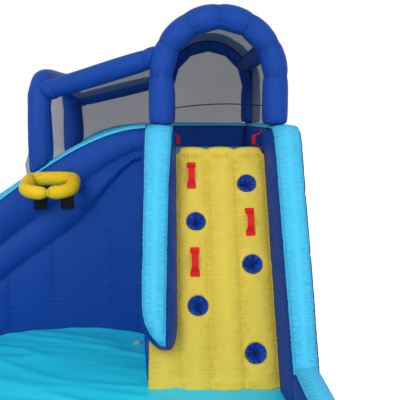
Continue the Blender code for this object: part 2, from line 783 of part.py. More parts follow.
def wall_lining(face, back, times, tops):
    rings = []
    for t, top in zip(times, tops):
        profile = slide_wall_profile(face, back, t, WALL_CHANNEL, top)
        rings.append([slide_point(r, t, z) for r, z in lining(profile)])
    return rings


def crown_rings(low, high, times, tops):
    rings = []
    for t, top in zip(times, tops):
        rings.append([slide_point(r, t, z) for r, z in cap_profile(high, high - low, top)])
    return rings


def make_slide():
    inner_back = SLIDE_INNER + SLIDE_WALL
    outer_back = SLIDE_OUTER - SLIDE_WALL
    times = SLIDE_TIMES
    tops = [rim_height(t) - CAP_HEIGHT for t in times]
    rings = wall_rings(SLIDE_INNER, inner_back, times, tops)
    rings.append(shrink(wall_rings(SLIDE_INNER, inner_back, [0.995], [tops[-1]])[0], 0.86))
    rings.append(shrink(wall_rings(SLIDE_INNER, inner_back, [1.005], [tops[-1]])[0], 0.55))
    hollow = steps(0.0, 0.94, 10)
    inside = wall_lining(SLIDE_INNER, inner_back, hollow, [rim_height(t) - CAP_HEIGHT for t in hollow])
    inner_wall = loft("slide_inner_wall", list(reversed(rings)), BLUE, inside)
    crowns = crown_rings(SLIDE_INNER, inner_back, times, tops)
    loft("slide_inner_crown", crowns, SKY)

    ends = OUTER_TIMES
    tops = []
    for t in ends:
        pool = smooth((t - 0.94) / (ends[-1] - 0.94))
        tops.append(mix(outer_rim_height(t), POOL_WALL_TOP, pool) - CAP_HEIGHT)
    rings = wall_rings(SLIDE_OUTER, outer_back, ends, tops)
    hollow = [t for i, t in enumerate(ends) if i % 2 == 0 and t < 0.93]
    inside = wall_lining(SLIDE_OUTER, outer_back, hollow, [outer_rim_height(t) - CAP_HEIGHT for t in hollow])
    outer_wall = loft("slide_outer_wall", list(reversed(rings)), BLUE, inside)
    loft("slide_outer_crown", list(reversed(crown_rings(outer_back, SLIDE_OUTER, ends, tops))), SKY)

    bed = []
    low, high = inner_back + GAP, outer_back - GAP
    width = (high - low) / BED_LOBES
    for t in SLIDE_TIMES + [1.0, 1.04]:
        top = max(roll_foot(t) - 0.6 * max(t - 0.98, 0.0), FLOOR_Z + 0.05)
        bottom = max(top - BED_THICK, BASE_Z)
        swell = 0.02
        profile = [(low, bottom), (low, top - swell)]
        for lobe in range(BED_LOBES):
            for share, rise in ((0.22, 0.8), (0.5, 1.0), (0.78, 0.8), (1.0, 0.0)):
                profile.append((low + width * (lobe + share), top - swell + swell * rise))
        profile.append((high, bottom))
        bed.append([slide_point(r, t, z) for r, z in profile])
    loft("slide_bed", bed, SKY)
    return surface(inner_wall), surface(outer_wall)


INNER_FACE, OUTER_FACE = make_slide()


# Pool walls: each is open where it meets the next chamber

def make_pool_walls():
    top = POOL_WALL_TOP - CAP_HEIGHT
    profile = edge_profile(EDGE_WIDTH / 2, EDGE_WIDTH, BASE_Z, top)
    inside = lining(profile)
    crown = cap_profile(EDGE_WIDTH / 2, EDGE_WIDTH, top)
    half = EDGE_WIDTH / 2
    right = EDGE_OUTER - half
    left = SLIDE_X - SLIDE_OUTER + half
    front = POOL_FRONT + half
    corner = POOL_CORNER - half
    straight = front + corner

    def slanted(section, x):
        """A ring cut to the right bumper's sloping crown."""
        ring = []
        for a, z in section:
            out = BUMPER_PROUD + CAP_HEIGHT + GAP
            ring.append(Vector((x + a, on_slope(0, down_to(z, out), out).y, z)))
        return ring

    def across(section, x, y, turn):
        """A ring at a point of the wall's line. The turn is the direction in which the section faces out."""
        out = Vector((math.cos(turn), math.sin(turn), 0))
        return [Vector((x, y, z)) + out * a for a, z in section]

    loft(
        "right_pool_wall",
        [slanted(profile, right), across(profile, right, straight + GAP, 0)],
        BLUE,
        [across(inside, right, straight + GAP, 0), across(inside, right, straight + 0.75, 0)],
    )
    path = []
    for angle in steps(0, 90, 5):
        turn = -math.radians(angle)
        path.append((right - corner + corner * math.cos(turn), straight + corner * math.sin(turn), turn))
    for angle in steps(90, 180, 5):
        turn = -math.radians(angle)
        path.append((left + corner + corner * math.cos(turn), straight + corner * math.sin(turn), turn))
    outer = [across(profile, *spot) for spot in reversed(path)]
    hollow = [across(inside, *spot) for spot in path[:6] + path[6:9]]
    loft("front_pool_wall", outer, BLUE, hollow)
    rear = SLIDE_Y - GAP
    loft(
        "left_pool_wall",
        [across(profile, left, straight + GAP, -math.pi), across(profile, left, rear, -math.pi)],
        BLUE,
        [across(inside, left, rear, -math.pi), across(inside, left, straight + 0.03, -math.pi)],
    )
    route = [slanted(crown, right)]
    route += [across(crown, *spot) for spot in path]
    route.append(across(crown, left, rear, -math.pi))
    loft("pool_wall_crown", route, SKY)


make_pool_walls()


# Net cage

ARCH_CENTRE_Z = ARCH_TOP - ARCH_TUBE / 2 - ARCH_HALF
TUBE_R = ARCH_TUBE / 2


ARCH_PINCH = 0.10
ARCH_STATIONS = []
for seam in range(0, 181, 30):
    ARCH_STATIONS += [(seam - 5, 1 - ARCH_PINCH / 4), (seam, 1 - ARCH_PINCH), (seam + 5, 1 - ARCH_PINCH / 4)]
    if seam < 180:
        ARCH_STATIONS.append((seam + 15, 1.0))


def arch_point(y, degrees):
    angle = math.radians(degrees)
    return Vector((ARCH_HALF * math.cos(angle), y, ARCH_CENTRE_Z + ARCH_HALF * math.sin(angle)))


def arch_route(y, foot_z):
    """Points and radii up one column, round six sewn segments and down the other."""
    points = []
    radii = []
    column = [(mix(foot_z, ARCH_CENTRE_Z, share), r) for share, r in ((0.0, 0.97), (0.12, 1.0), (0.70, 1.0))]
    for z, r in column:
        points.append(Vector((-ARCH_HALF, y, z)))
        radii.append(r)
    for degrees, share in ARCH_STATIONS:
        points.append(arch_point(y, 180 - degrees))
        radii.append(share)
    for z, r in reversed(column):
        points.append(Vector((ARCH_HALF, y, z)))
        radii.append(r)
    return points, radii


def slide_arch_route(extra):
    """Points and radii of the squarer arch over the slide. Its legs run on by extra, to be cut to the walls."""
    front = Vector((*SLIDE_ARCH_FRONT, 0))
    rear = Vector((*SLIDE_ARCH_REAR, 0))
    way = (rear - front).normalized()
    top = SLIDE_ARCH_TOP - TUBE_R
    bend = SLIDE_ARCH_CORNER
    shoulder = top - bend
    foot = FRONT_LEG_Z - extra
    rear_foot = REAR_LEG_Z - extra
    points = [front + Vector((0, 0, foot)), front + Vector((0, 0, shoulder - 0.12))]
    radii = [1.0, 1.0]
    for angle, share in ((0, 0.92), (22, 1.0), (45, 0.92), (68, 1.0), (90, 0.92)):
        turn = math.radians(angle)
        points.append(front + way * (bend * (1 - math.cos(turn))) + Vector((0, 0, shoulder + bend * math.sin(turn))))
        radii.append(share)
    reach = (rear - front).length - 2 * bend
    for share, r in ((0.2, 1.0), (0.5, 0.92), (0.8, 1.0)):
        points.append(front + way * (bend + reach * share) + Vector((0, 0, top)))
        radii.append(r)
    for angle, share in ((90, 0.92), (68, 1.0), (45, 0.92), (22, 1.0), (0, 0.92)):
        turn = math.radians(angle)
        points.append(rear - way * (bend * (1 - math.cos(turn))) + Vector((0, 0, shoulder + bend * math.sin(turn))))
        radii.append(share)
    points += [rear + Vector((0, 0, shoulder - 0.12)), rear + Vector((0, 0, rear_foot))]
    radii += [1.0, 1.0]
    return points, radii


def time_at(x, y):
    """Where along the slide this point lies."""
    angle = math.atan2(y - SLIDE_Y, x - SLIDE_X)
    radius = math.hypot(x - SLIDE_X, y - SLIDE_Y)
    low, high = 0.0, 1.0
    for _ in range(30):
        t = (low + high) / 2
        if slide_angle(radius, t) < angle:
            low = t
        else:
            high = t
    return low


def rim_under(x, y):
    """Height of the slide walls' crown line under a point."""
    outer = math.hypot(x - SLIDE_X, y - SLIDE_Y) > (SLIDE_INNER + SLIDE_OUTER) / 2
    t = time_at(x, y)
    return outer_rim_height(t) if outer else rim_height(t)


FRONT_LEG_Z = rim_under(*SLIDE_ARCH_FRONT)
REAR_LEG_Z = rim_under(*SLIDE_ARCH_REAR)


def seat_cutter(name, low, high, height):
    """The crown of a slide wall with a clearance, to cut a leg's foot to its shape."""
    tops = [height(t) - CAP_HEIGHT for t in SLIDE_TIMES]
    rings = []
    for ring in crown_rings(low, high, SLIDE_TIMES, tops):
        ring = [point + Vector((0, 0, 2 * GAP)) for point in ring]
        low_side = [point - Vector((0, 0, 0.03)) for point in (ring[0], ring[-1])]
        rings.append([low_side[0]] + ring + [low_side[1]])
    return cutter(loft(name, rings, BLUE))


def cut_leg(obj, x, y):
    """Cut a leg's foot to the fall of the wall that it stands on."""
    radius = math.hypot(x - SLIDE_X, y - SLIDE_Y)
    radial = Vector((x - SLIDE_X, y - SLIDE_Y, 0)) / radius
    along = Vector((-radial.y, radial.x, 0))
    step = 0.05
    ahead = Vector((x, y, 0)) + along * step
    behind = Vector((x, y, 0)) - along * step
    fall = (rim_under(ahead.x, ahead.y) - rim_under(behind.x, behind.y)) / (2 * step)
    normal = (Vector((0, 0, 1)) - along * fall).normalized()
    bm = bmesh.new()
    bm.from_mesh(obj.data)
    low = [v for v in bm.verts if (v.co.xy - Vector((x, y))).length < 0.2 and v.co.z < rim_under(x, y) + 0.3]
    faces = {f for v in low for f in v.link_faces}
    edges = {e for f in faces for e in f.edges}
    point = Vector((x, y, rim_under(x, y) - LEG_LAP))
    made = bmesh.ops.bisect_plane(
        bm, geom=list(low) + list(edges) + list(faces), plane_co=point, plane_no=normal, clear_inner=True,
    )
    rim = [e for e in made["geom_cut"] if isinstance(e, bmesh.types.BMEdge)]
    bmesh.ops.edgeloop_fill(bm, edges=rim)
    bmesh.ops.recalc_face_normals(bm, faces=bm.faces)
    bm.to_mesh(obj.data)
    bm.free()


def coped(name, start, end, diameter, tools):
    """A straight tube whose ends are hollowed to sit on the tubes that they meet."""
    way = end - start
    points = [start + way * share for share in (0.0, 0.12, 0.14, 0.16, 0.5, 0.84, 0.86, 0.88, 1.0)]
    radii = [1.0, 1.0, 0.93, 1.0, 1.0, 1.0, 0.93, 1.0, 1.0]
    rail = as_mesh(tube(name, points, diameter, BLUE, radii), BLUE)
    for tool in tools:
        cut(rail, tool)
    return rail


def make_cage():
    foot = RIM_Z + GAP
    tools = {}
    for name, y in (("climbing_arch", 0.0), ("rear_arch", REAR_ARCH_Y)):
        points, radii = arch_route(y, foot)
        as_mesh(tube(name, points, ARCH_TUBE, BLUE, radii), BLUE)
        tool = as_mesh(tube(name + "_clearance", points, ARCH_TUBE + 2 * COPE, BLUE, radii), BLUE)
        tools[name] = cutter(tool)
    points, radii = slide_arch_route(0.08)
    slide_arch = as_mesh(tube("slide_arch", points, ARCH_TUBE, BLUE, radii), BLUE)
    cut_leg(slide_arch, *SLIDE_ARCH_FRONT)
    cut_leg(slide_arch, *SLIDE_ARCH_REAR)
    cut(slide_arch, seat_cutter("front_leg_seat", SLIDE_INNER, SLIDE_INNER + SLIDE_WALL, rim_height))
    cut(slide_arch, seat_cutter("rear_leg_seat", SLIDE_OUTER - SLIDE_WALL, SLIDE_OUTER, outer_rim_height))
    tool = as_mesh(tube("slide_arch_clearance", points, ARCH_TUBE + 2 * COPE, BLUE, radii), BLUE)
    tools["slide_arch"] = cutter(tool)
    front_tools = (tools["climbing_arch"], tools["slide_arch"])
    coped("front_rail", FRONT_RAIL_START, FRONT_RAIL_FINISH, FRONT_RAIL, front_tools)
    rear_tools = (tools["rear_arch"], tools["slide_arch"])
    coped("rear_rail", REAR_RAIL_START, REAR_RAIL_FINISH, REAR_RAIL, rear_tools)
    coped(
        "shoulder_link", arch_point(0.0, LINK_ANGLE), arch_point(REAR_ARCH_Y, LINK_ANGLE), LINK_TUBE,
        (tools["climbing_arch"], tools["rear_arch"]),
    )


def arch_x(z):
    """Distance from the lane's centre to the arch's centre line at this height."""
    rise = max(z - ARCH_CENTRE_Z, 0.0)
    return math.sqrt(ARCH_HALF**2 - rise**2)


def slide_arch_at(base, other, z):
    """A point on the slide arch's centre line at this height, on the leg at base."""
    here = Vector((*base, z))
    way = (Vector(other) - Vector(base)).normalized()
    shoulder = SLIDE_ARCH_TOP - TUBE_R - SLIDE_ARCH_CORNER
    rise = max(z - shoulder, 0.0)
    lean = SLIDE_ARCH_CORNER - math.sqrt(SLIDE_ARCH_CORNER**2 - rise**2)
    return here + Vector((way.x * lean, way.y * lean, 0))


FRONT_RAIL_START = Vector((-arch_x(FRONT_RAIL_HIGH), 0.0, FRONT_RAIL_HIGH))
FRONT_RAIL_FINISH = slide_arch_at(SLIDE_ARCH_FRONT, SLIDE_ARCH_REAR, FRONT_RAIL_LOW)
REAR_RAIL_START = Vector((-arch_x(REAR_RAIL_HIGH), REAR_ARCH_Y, REAR_RAIL_HIGH))
REAR_RAIL_FINISH = slide_arch_at(SLIDE_ARCH_REAR, SLIDE_ARCH_FRONT, REAR_RAIL_LOW)

make_cage()


# Safety nets

NET_GAP = 0.0006


def make_rear_net():
    """Fills the rear arch from the parapet up."""
    reach = ARCH_HALF - TUBE_R - NET_GAP
    foot = RIM_Z + NET_GAP
    outline = [(reach, foot)]
    for degrees, share in ARCH_STATIONS[1:-1]:
        turn = math.radians(degrees)
        outline.append((reach * math.cos(turn), ARCH_CENTRE_Z + reach * math.sin(turn)))
    outline.append((-reach, foot))
    net = plate("rear_net", [outline], NET, GREY)
    net.location.y = REAR_ARCH_Y
    net.rotation_euler = (math.pi / 2, 0, 0)


def make_tower_nets():
    front = TUBE_R + NET_GAP
    back = REAR_ARCH_Y - TUBE_R - BINDING - 2 * NET_GAP
    link = arch_point(0, LINK_ANGLE)
    below_link = link.z - math.sqrt((LINK_TUBE / 2) ** 2 - (ARCH_HALF - link.x) ** 2) - NET_GAP - 0.004
    foot = RIM_Z + NET_GAP
    panel(
        "right_side_net",
        [[Vector((ARCH_HALF, y, z)) for y in (front, back)] for z in steps(foot, below_link, 2)],
        GREY,
    )
    half_link = math.degrees(LINK_TUBE / 2 / ARCH_HALF) + 0.6
    rows = []
    for angle in steps(LINK_ANGLE + half_link, 168, 14):
        at = arch_point(0, angle)
        rows.append([Vector((at.x, front, at.z)), Vector((at.x, back, at.z))])
    panel("tower_roof_net", rows, GREY)


def rail_point(start, finish, x):
    return start.lerp(finish, (x - start.x) / (finish.x - start.x))


def clear_of(tree, centre, way):
    """How far from a tube's centre line a net's edge stands, to lie against the tube."""
    return (seat(tree, centre + way * 0.3, -way) - centre).length + 2 * GAP


def make_front_net():
    """The net on the slide's outer wall in front of the slide arch. Its hem falls from the rear leg's top."""
    radius = SLIDE_OUTER - SLIDE_WALL / 2
    leg = surface(bpy.data.objects["slide_arch"])
    way = (Vector(SLIDE_ARCH_FRONT) - Vector(SLIDE_ARCH_REAR)).normalized()
    ahead = Vector((way.y, -way.x, 0))
    shoulder = SLIDE_ARCH_TOP - TUBE_R - SLIDE_ARCH_CORNER
    bends = [shoulder + SLIDE_ARCH_CORNER * math.sin(math.radians(turn)) for turn in (0, 22, 45)]

    def beside_leg(z):
        centre = slide_arch_at(SLIDE_ARCH_REAR, SLIDE_ARCH_FRONT, z)
        return centre + ahead * (clear_of(leg, centre, ahead) + GAP)

    low = beside_leg(shoulder - 0.12)
    low.z = REAR_LEG_Z
    start = math.atan2(low.y - SLIDE_Y, low.x - SLIDE_X)
    near_foot = rim_under(low.x, low.y) + 0.009
    rows = []
    for level in [near_foot, shoulder - 0.12] + bends:
        share = (level - near_foot) / (bends[-1] - near_foot)
        row = []
        for far in steps(0.0, 1.0, 8):
            angle = start + far * FRONT_NET_LENGTH / radius
            crown = Vector((SLIDE_X + radius * math.cos(angle), SLIDE_Y + radius * math.sin(angle), REAR_LEG_Z))
            spot = crown.lerp(low, (1 - far) ** 2)
            foot = rim_under(spot.x, spot.y) + 0.009
            z = foot + share * (bends[-1] - foot) * max(1 - far, 0.02) ** 0.4
            lean = (beside_leg(max(z, shoulder - 0.12)) - low) * (1 - far) ** 2
            row.append(Vector((spot.x + lean.x, spot.y + lean.y, z)))
        rows.append(row)
    panel("front_slide_net", rows, GREY)


def make_slide_nets():
    """Rear and roof nets between the tower and the slide arch."""
    tower_side = -ARCH_HALF - TUBE_R - NET_GAP
    drop = Vector((0, 0, 1))
    rows = [[], []]
    last = SLIDE_ARCH_REAR[0] + TUBE_R - 2 * NET_GAP
    for x in steps(tower_side, last, 10):
        radius = SLIDE_OUTER - SLIDE_WALL / 2
        y = SLIDE_Y + math.sqrt(radius**2 - (x - SLIDE_X) ** 2)
        z = RIM_Z if x > -TOWER_HALF - GAP else rim_under(x, y)
        rows[0].append(Vector((x, y, z + 0.006)))
        top = rail_point(REAR_RAIL_START, REAR_RAIL_FINISH, x)
        rows[1].append(top - drop * (REAR_RAIL / 2 + 0.005))
    panel("rear_slide_net", rows, GREY)
    rows = [[], []]
    front_face = surface(bpy.data.objects["front_rail"])
    rear_face = surface(bpy.data.objects["rear_rail"])
    front_middle = (FRONT_RAIL_START + FRONT_RAIL_FINISH) / 2
    rear_middle = (REAR_RAIL_START + REAR_RAIL_FINISH) / 2
    for x in steps(tower_side, SLIDE_ARCH_FRONT[0] + SLIDE_WALL - 0.02, 4):
        front = rail_point(FRONT_RAIL_START, FRONT_RAIL_FINISH, x)
        rear = rail_point(REAR_RAIL_START, REAR_RAIL_FINISH, x)
        across = (rear - front).normalized()
        rows[0].append(front + across * clear_of(front_face, front_middle, across))
        rows[1].append(rear - across * clear_of(rear_face, rear_middle, -across))
    panel("slide_roof_net", rows, GREY)


def make_binding():
    """Black tape that joins the side and roof nets to the rear arch's front face."""
    y = REAR_ARCH_Y - TUBE_R - BINDING / 2 - NET_GAP
    half_link = math.degrees(LINK_TUBE / 2 / ARCH_HALF) + 1.5
    points = [Vector((ARCH_HALF, y, z)) for z in steps(RIM_Z + NET_GAP, ARCH_CENTRE_Z - 0.05, 2)]
    points += [arch_point(y, angle) for angle in steps(0, LINK_ANGLE - half_link, 3)]
    tube("side_net_binding", points, BINDING, BLACK, sides=8)
    points = [arch_point(y, angle) for angle in steps(LINK_ANGLE + half_link, 165, 14)]
    tube("roof_net_binding", points, BINDING, BLACK, sides=8)


def make_tie_cord():
    """A cord drawn across the climbing arch, from column to column."""
    reach = ARCH_HALF - TUBE_R - GAP
    points = []
    for share in steps(-1, 1, 12):
        level = max(min(share, 0.9), -0.9)
        z = CORD_Z + 0.022 * (1 - level * level) + 0.008 * level
        points.append(Vector((reach * share, 0.0, z)))
    tube("arch_tie_cord", points, CORD, BLACK, sides=8)


make_rear_net()
make_tower_nets()
make_front_net()
make_slide_nets()
make_binding()
make_tie_cord()


# Hoop

HOOP_OUT = Vector((math.cos(HOOP_ANGLE), math.sin(HOOP_ANGLE), 0))
HOOP_ALONG = Vector((HOOP_OUT.y, -HOOP_OUT.x, 0))


def wall_reach(offset, z):
    """Distance of the slide's inner face from the slide's centre, square to the hoop's back."""
    start = Vector((SLIDE_X, SLIDE_Y, z)) + HOOP_ALONG * offset + HOOP_OUT * (SLIDE_INNER / 2)
    return (seat(INNER_FACE, start, HOOP_OUT) - Vector((SLIDE_X, SLIDE_Y, z))).dot(HOOP_OUT)


def strap_reach(offset, z):
    """Distance of a strap's back at this height: it touches the wall where the wall stands out most."""
    shares = (-1, -0.5, 0, 0.5, 1)
    heights = (z - 0.009, z, z + 0.009)
    return min(wall_reach(offset + share * HOOP_STRAP / 2, h) for share in shares for h in heights) - 2 * GAP


def hoop_frame():
    """The middle of the ring's back, its direction along the wall, and the ring's own outward direction."""
    outward = HOOP_OUT * math.cos(HOOP_TILT) + Vector((0, 0, math.sin(HOOP_TILT)))
    radius = HOOP_TUBE / 2
    spans = []
    for offset in (-HOOP_STRAP_OFF, HOOP_STRAP_OFF):
        for up in steps(-0.8 * radius, -0.01, 8):
            clear = HOOP_STRAP_WEB + GAP + math.sqrt(radius**2 - up**2)
            spans.append(strap_reach(offset, HOOP_Z + up) - clear)
    return Vector((SLIDE_X, SLIDE_Y, HOOP_Z)) + HOOP_OUT * min(spans), HOOP_ALONG, outward


def make_hoop():
    """A C-shaped air ring. Its straight back lies along the slide wall and its two ends meet in front."""
    middle, along, outward = hoop_frame()
    path = [(HOOP_MOUTH / 2, -HOOP_DEPTH + 0.01), (HOOP_MOUTH / 2 + 0.014, -HOOP_DEPTH)]
    bend = HOOP_FRONT_BEND
    for angle in steps(-90, 0, 5):
        turn = math.radians(angle)
        path.append((HOOP_HALF - bend + bend * math.cos(turn), bend - HOOP_DEPTH + bend * math.sin(turn)))
    bend = HOOP_BACK_BEND
    for angle in steps(0, 90, 3):
        turn = math.radians(angle)
        path.append((HOOP_HALF - bend + bend * math.cos(turn), -bend + bend * math.sin(turn)))
    path += [(-a, b) for a, b in reversed(path)]
    points = [middle + along * a + outward * b for a, b in path]
    radii = [0.62, 0.95] + [1.0] * (len(points) - 4) + [0.95, 0.62]
    tube("hoop_ring", points, HOOP_TUBE, YELLOW, radii, sides=12)
    for side, name in ((-1, "hoop_strap_left"), (1, "hoop_strap_right")):
        make_hoop_strap(name, side * HOOP_STRAP_OFF)


def make_hoop_strap(name, offset):
    """Webbing sewn behind the ring's back. It lies on the wall below and ends in a doubled loop."""
    half = HOOP_STRAP / 2
    low = -HOOP_STRAP_DROP
    web = HOOP_STRAP_WEB

    def ring(stand, up, thick, lift=0.0):
        """Four corners of the web at this height, where it stands off the wall by stand."""
        z = HOOP_Z + up
        reach = strap_reach(offset, z) - stand
        corners = []
        for side, extra, rise in ((-half, 0, 0), (half, 0, 0), (half, thick, lift), (-half, thick, lift)):
            spot = Vector((SLIDE_X, SLIDE_Y, z + rise)) + HOOP_ALONG * (offset + side)
            corners.append(spot + HOOP_OUT * (reach - extra))
        return corners

    rings = [ring(0.0, up, web) for up in steps(-0.008, low + 0.014, 13)]
    rings.append(ring(0.0, low, web, web))
    rings.append(ring(0.018, low - 0.003, -0.001, web))
    rings.append(ring(0.022, low + 0.016, -web))
    rings.append(ring(0.012, low + 0.042, -web))
    loft(name, rings, BLACK)


make_hoop()


# Fittings: air sleeve, deflation zip, drain and ground anchors

def make_sleeve():
    """The air inlet: a fabric tube that leaves the slide's outer wall near the ground."""
    out = Vector((math.cos(SLEEVE_ANGLE), math.sin(SLEEVE_ANGLE), 0))
    across = Vector((-out.y, out.x, 0))
    base = Vector((SLIDE_X, SLIDE_Y, SLEEVE_Z)) + out * SLIDE_OUTER
    rows = (
        (0.0, 0.0), (0.035, 0.008), (0.12, 0.0), (SLEEVE_LENGTH - 0.05, 0.004), (SLEEVE_LENGTH, 0.008),
        (SLEEVE_LENGTH, 0.008 - SLEEVE_WALL), (SLEEVE_LENGTH - 0.05, 0.004 - SLEEVE_WALL), (0.0, -SLEEVE_WALL),
    )
    rings = []
    for far, swell in rows:
        radius = SLEEVE_DIAMETER / 2 + swell
        ring = []
        for i in range(16):
            turn = math.tau * i / 16
            spot = base + (across * math.cos(turn) + Vector((0, 0, math.sin(turn)))) * radius
            if far == 0.0:
                ring.append(seat(OUTER_FACE, spot + out * SLEEVE_LENGTH, -out) + out * 6 * GAP)
            else:
                ring.append(spot + out * far)
        rings.append(ring)
    loft("blower_sleeve", rings, BLUE, closed=True)


def make_zip():
    """The deflation zip, on the crown of an upright air column of the tower's back."""
    lobe = (2 * TOWER_HALF - 0.03) / TOWER_LOBES_BACK
    x = TOWER_HALF - 0.03 - lobe * 1.5
    y = TOWER_BACK + GAP
    bpy.ops.mesh.primitive_cube_add(size=1)
    tape = bpy.context.object
    tape.name = "deflation_zip_tape"
    tape.data.name = tape.name
    tape.data.transform(Matrix.Diagonal((ZIP_WIDTH, ZIP_TAPE, ZIP_LENGTH, 1)))
    tape.location = (x, y + ZIP_TAPE / 2, ZIP_FOOT + ZIP_LENGTH / 2)
    for home in list(tape.users_collection):
        home.objects.unlink(tape)
    finish(tape, BLACK)
    face = y + ZIP_TAPE + GAP
    rows = ((0.0, 0.006, 0.004), (0.004, 0.009, 0.007), (0.022, 0.009, 0.007), (0.026, 0.006, 0.004))
    rings = []
    for up, half, deep in rows:
        ring = []
        for a, b in ((-1, 0), (1, 0), (1, 0.6), (0.5, 1), (-0.5, 1), (-1, 0.6)):
            ring.append(Vector((half * a, deep * b, up)))
        rings.append(ring)
    slider = loft("zip_slider", rings, GREY, roughness=0.35, metallic=0.8)
    slider.location = (x, face, ZIP_FOOT + 0.012)


def ring_profile(rows, count=20):
    """Rings of a turned piece about the vertical, from (radius, height) rows."""
    rings = []
    for radius, z in rows:
        rings.append([
            Vector((radius * math.cos(math.tau * i / count), radius * math.sin(math.tau * i / count), z))
            for i in range(count)
        ])
    return rings


def make_drain():
    """A flange on the pool floor, and the plug that lifts out of it."""
    bore = DRAIN_BORE / 2
    edge = bore + 0.020
    low, high = 0.0, 0.007
    rows = ((bore, low), (edge, low), (edge, high - 0.003), (edge - 0.004, high), (bore, high))
    flange = loft("drain_flange", ring_profile(rows), GREY, closed=True)
    flange.location = (*DRAIN_AT, BASE_Z)
    rows = (
        (bore - 0.0008, 0.0005), (bore - 0.0005, high + GAP), (bore + 0.010, high + GAP),
        (bore + 0.010, high + 0.005), (bore + 0.006, high + 0.008), (0.006, high + 0.008),
        (0.005, high + 0.016), (0.002, high + 0.017),
    )
    plug = loft("drain_plug", ring_profile(rows), GREY)
    plug.location = (*DRAIN_AT, BASE_Z)


def make_anchor(name, x, y, turn):
    """A flat webbing loop on the ground, which a stake goes through. It leaves the sheet's edge along turn."""
    half = ANCHOR_WIDTH / 2
    outline = [(0.0, -half)]
    hole = [(ANCHOR_WEB * 0.7, ANCHOR_WEB - half)]
    for angle in steps(-90, 90, 6):
        bend = math.radians(angle)
        reach = ANCHOR_LENGTH - half
        outline.append((reach + half * math.cos(bend), half * math.sin(bend)))
        inner = half - ANCHOR_WEB
        hole.append((reach + inner * math.cos(bend), inner * math.sin(bend)))
    outline.append((0.0, half))
    hole.append((ANCHOR_WEB * 0.7, half - ANCHOR_WEB))
    loop = plate(name, [outline, hole], SHEET - 0.001, BLACK)
    loop.location = (x, y, SHEET / 2)
    loop.rotation_euler = (0, 0, turn)


def make_anchors():
    left = SLIDE_X - SLIDE_OUTER
    inset = POOL_CORNER * (1 - math.cos(math.radians(45))) - GAP
    make_anchor("anchor_front_left", left + inset, POOL_FRONT + inset, math.radians(225))
    make_anchor("anchor_front_right", EDGE_OUTER - inset, POOL_FRONT + inset, math.radians(315))
    angle = mix(math.acos((-TOWER_HALF - SLIDE_X) / SLIDE_OUTER), math.pi, 4 / SHEET_FACETS)
    reach = SLIDE_OUTER + GAP
    make_anchor(
        "anchor_rear_left", SLIDE_X + reach * math.cos(angle), SLIDE_Y + reach * math.sin(angle), angle,
    )
    make_anchor("anchor_rear_right", EDGE_OUTER + GAP, TOWER_BACK - ANCHOR_WIDTH, 0)


make_sleeve()
make_zip()
make_drain()
make_anchors()


# Origin: the middle of the footprint, on the ground

def footprint():
    bpy.context.view_layer.update()
    graph = bpy.context.evaluated_depsgraph_get()
    corners = []
    for obj in parts.objects:
        if obj.type == "EMPTY":
            continue
        shape = obj.evaluated_get(graph)
        mesh = shape.to_mesh()
        corners += [shape.matrix_world @ vertex.co for vertex in mesh.vertices]
        shape.to_mesh_clear()
    low = [min(corner[k] for corner in corners) for k in range(3)]
    high = [max(corner[k] for corner in corners) for k in range(3)]
    return low, high


low, high = footprint()
origin.location = (-(low[0] + high[0]) / 2, -(low[1] + high[1]) / 2, 0)
print("size", [round(b - a, 4) for a, b in zip(low, high)], "origin moved by", [round(v, 4) for v in origin.location])
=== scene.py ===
# %% [markdown]
# # An inflatable water park, dressed for a picture
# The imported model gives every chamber, net and strap in its real place. This lesson puts cloth on
# them: air chambers that pull in at their seams, nets that can be seen through, webbing and a
# wrinkled pool floor.

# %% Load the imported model
import json
import math

import bmesh
import bpy
import numpy as np
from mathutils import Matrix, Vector
from mathutils.bvhtree import BVHTree
from mathutils.kdtree import KDTree
from mathutils.noise import noise

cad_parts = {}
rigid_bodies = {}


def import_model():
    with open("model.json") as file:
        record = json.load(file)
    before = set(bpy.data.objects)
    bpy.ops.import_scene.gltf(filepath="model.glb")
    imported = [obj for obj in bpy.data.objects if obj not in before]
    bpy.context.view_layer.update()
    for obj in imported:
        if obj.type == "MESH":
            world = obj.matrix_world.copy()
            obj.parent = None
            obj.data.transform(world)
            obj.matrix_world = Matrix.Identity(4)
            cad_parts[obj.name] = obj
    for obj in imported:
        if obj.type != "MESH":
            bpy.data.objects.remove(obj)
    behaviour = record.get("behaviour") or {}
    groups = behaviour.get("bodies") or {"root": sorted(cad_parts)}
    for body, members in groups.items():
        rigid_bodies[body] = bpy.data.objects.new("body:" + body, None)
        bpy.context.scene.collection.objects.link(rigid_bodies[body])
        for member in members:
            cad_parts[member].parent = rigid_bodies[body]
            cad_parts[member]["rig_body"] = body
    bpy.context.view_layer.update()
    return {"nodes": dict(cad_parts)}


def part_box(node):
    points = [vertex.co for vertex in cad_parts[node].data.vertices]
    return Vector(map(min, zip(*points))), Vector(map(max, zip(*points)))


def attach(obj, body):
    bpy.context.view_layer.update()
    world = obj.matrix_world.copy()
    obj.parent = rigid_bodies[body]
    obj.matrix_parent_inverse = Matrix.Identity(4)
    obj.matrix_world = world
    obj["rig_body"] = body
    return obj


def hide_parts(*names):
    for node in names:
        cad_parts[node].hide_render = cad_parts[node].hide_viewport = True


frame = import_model()

# %% [markdown]
# ## Camera
# The picture was taken from about eye height, close to the front of the climbing lane, so near
# pieces look large. A 51 mm lens on a 36 mm sensor gives the same spread of lines.

# %% Camera
PHOTO_PIXELS = 400
FOCAL_PIXELS = 572
SENSOR_MM = 36.0
CAMERA_PLACE = (1.2089, -3.8090, 1.700)
CAMERA_TILT = math.radians(81.8)
CAMERA_TURN = math.radians(-2.3)

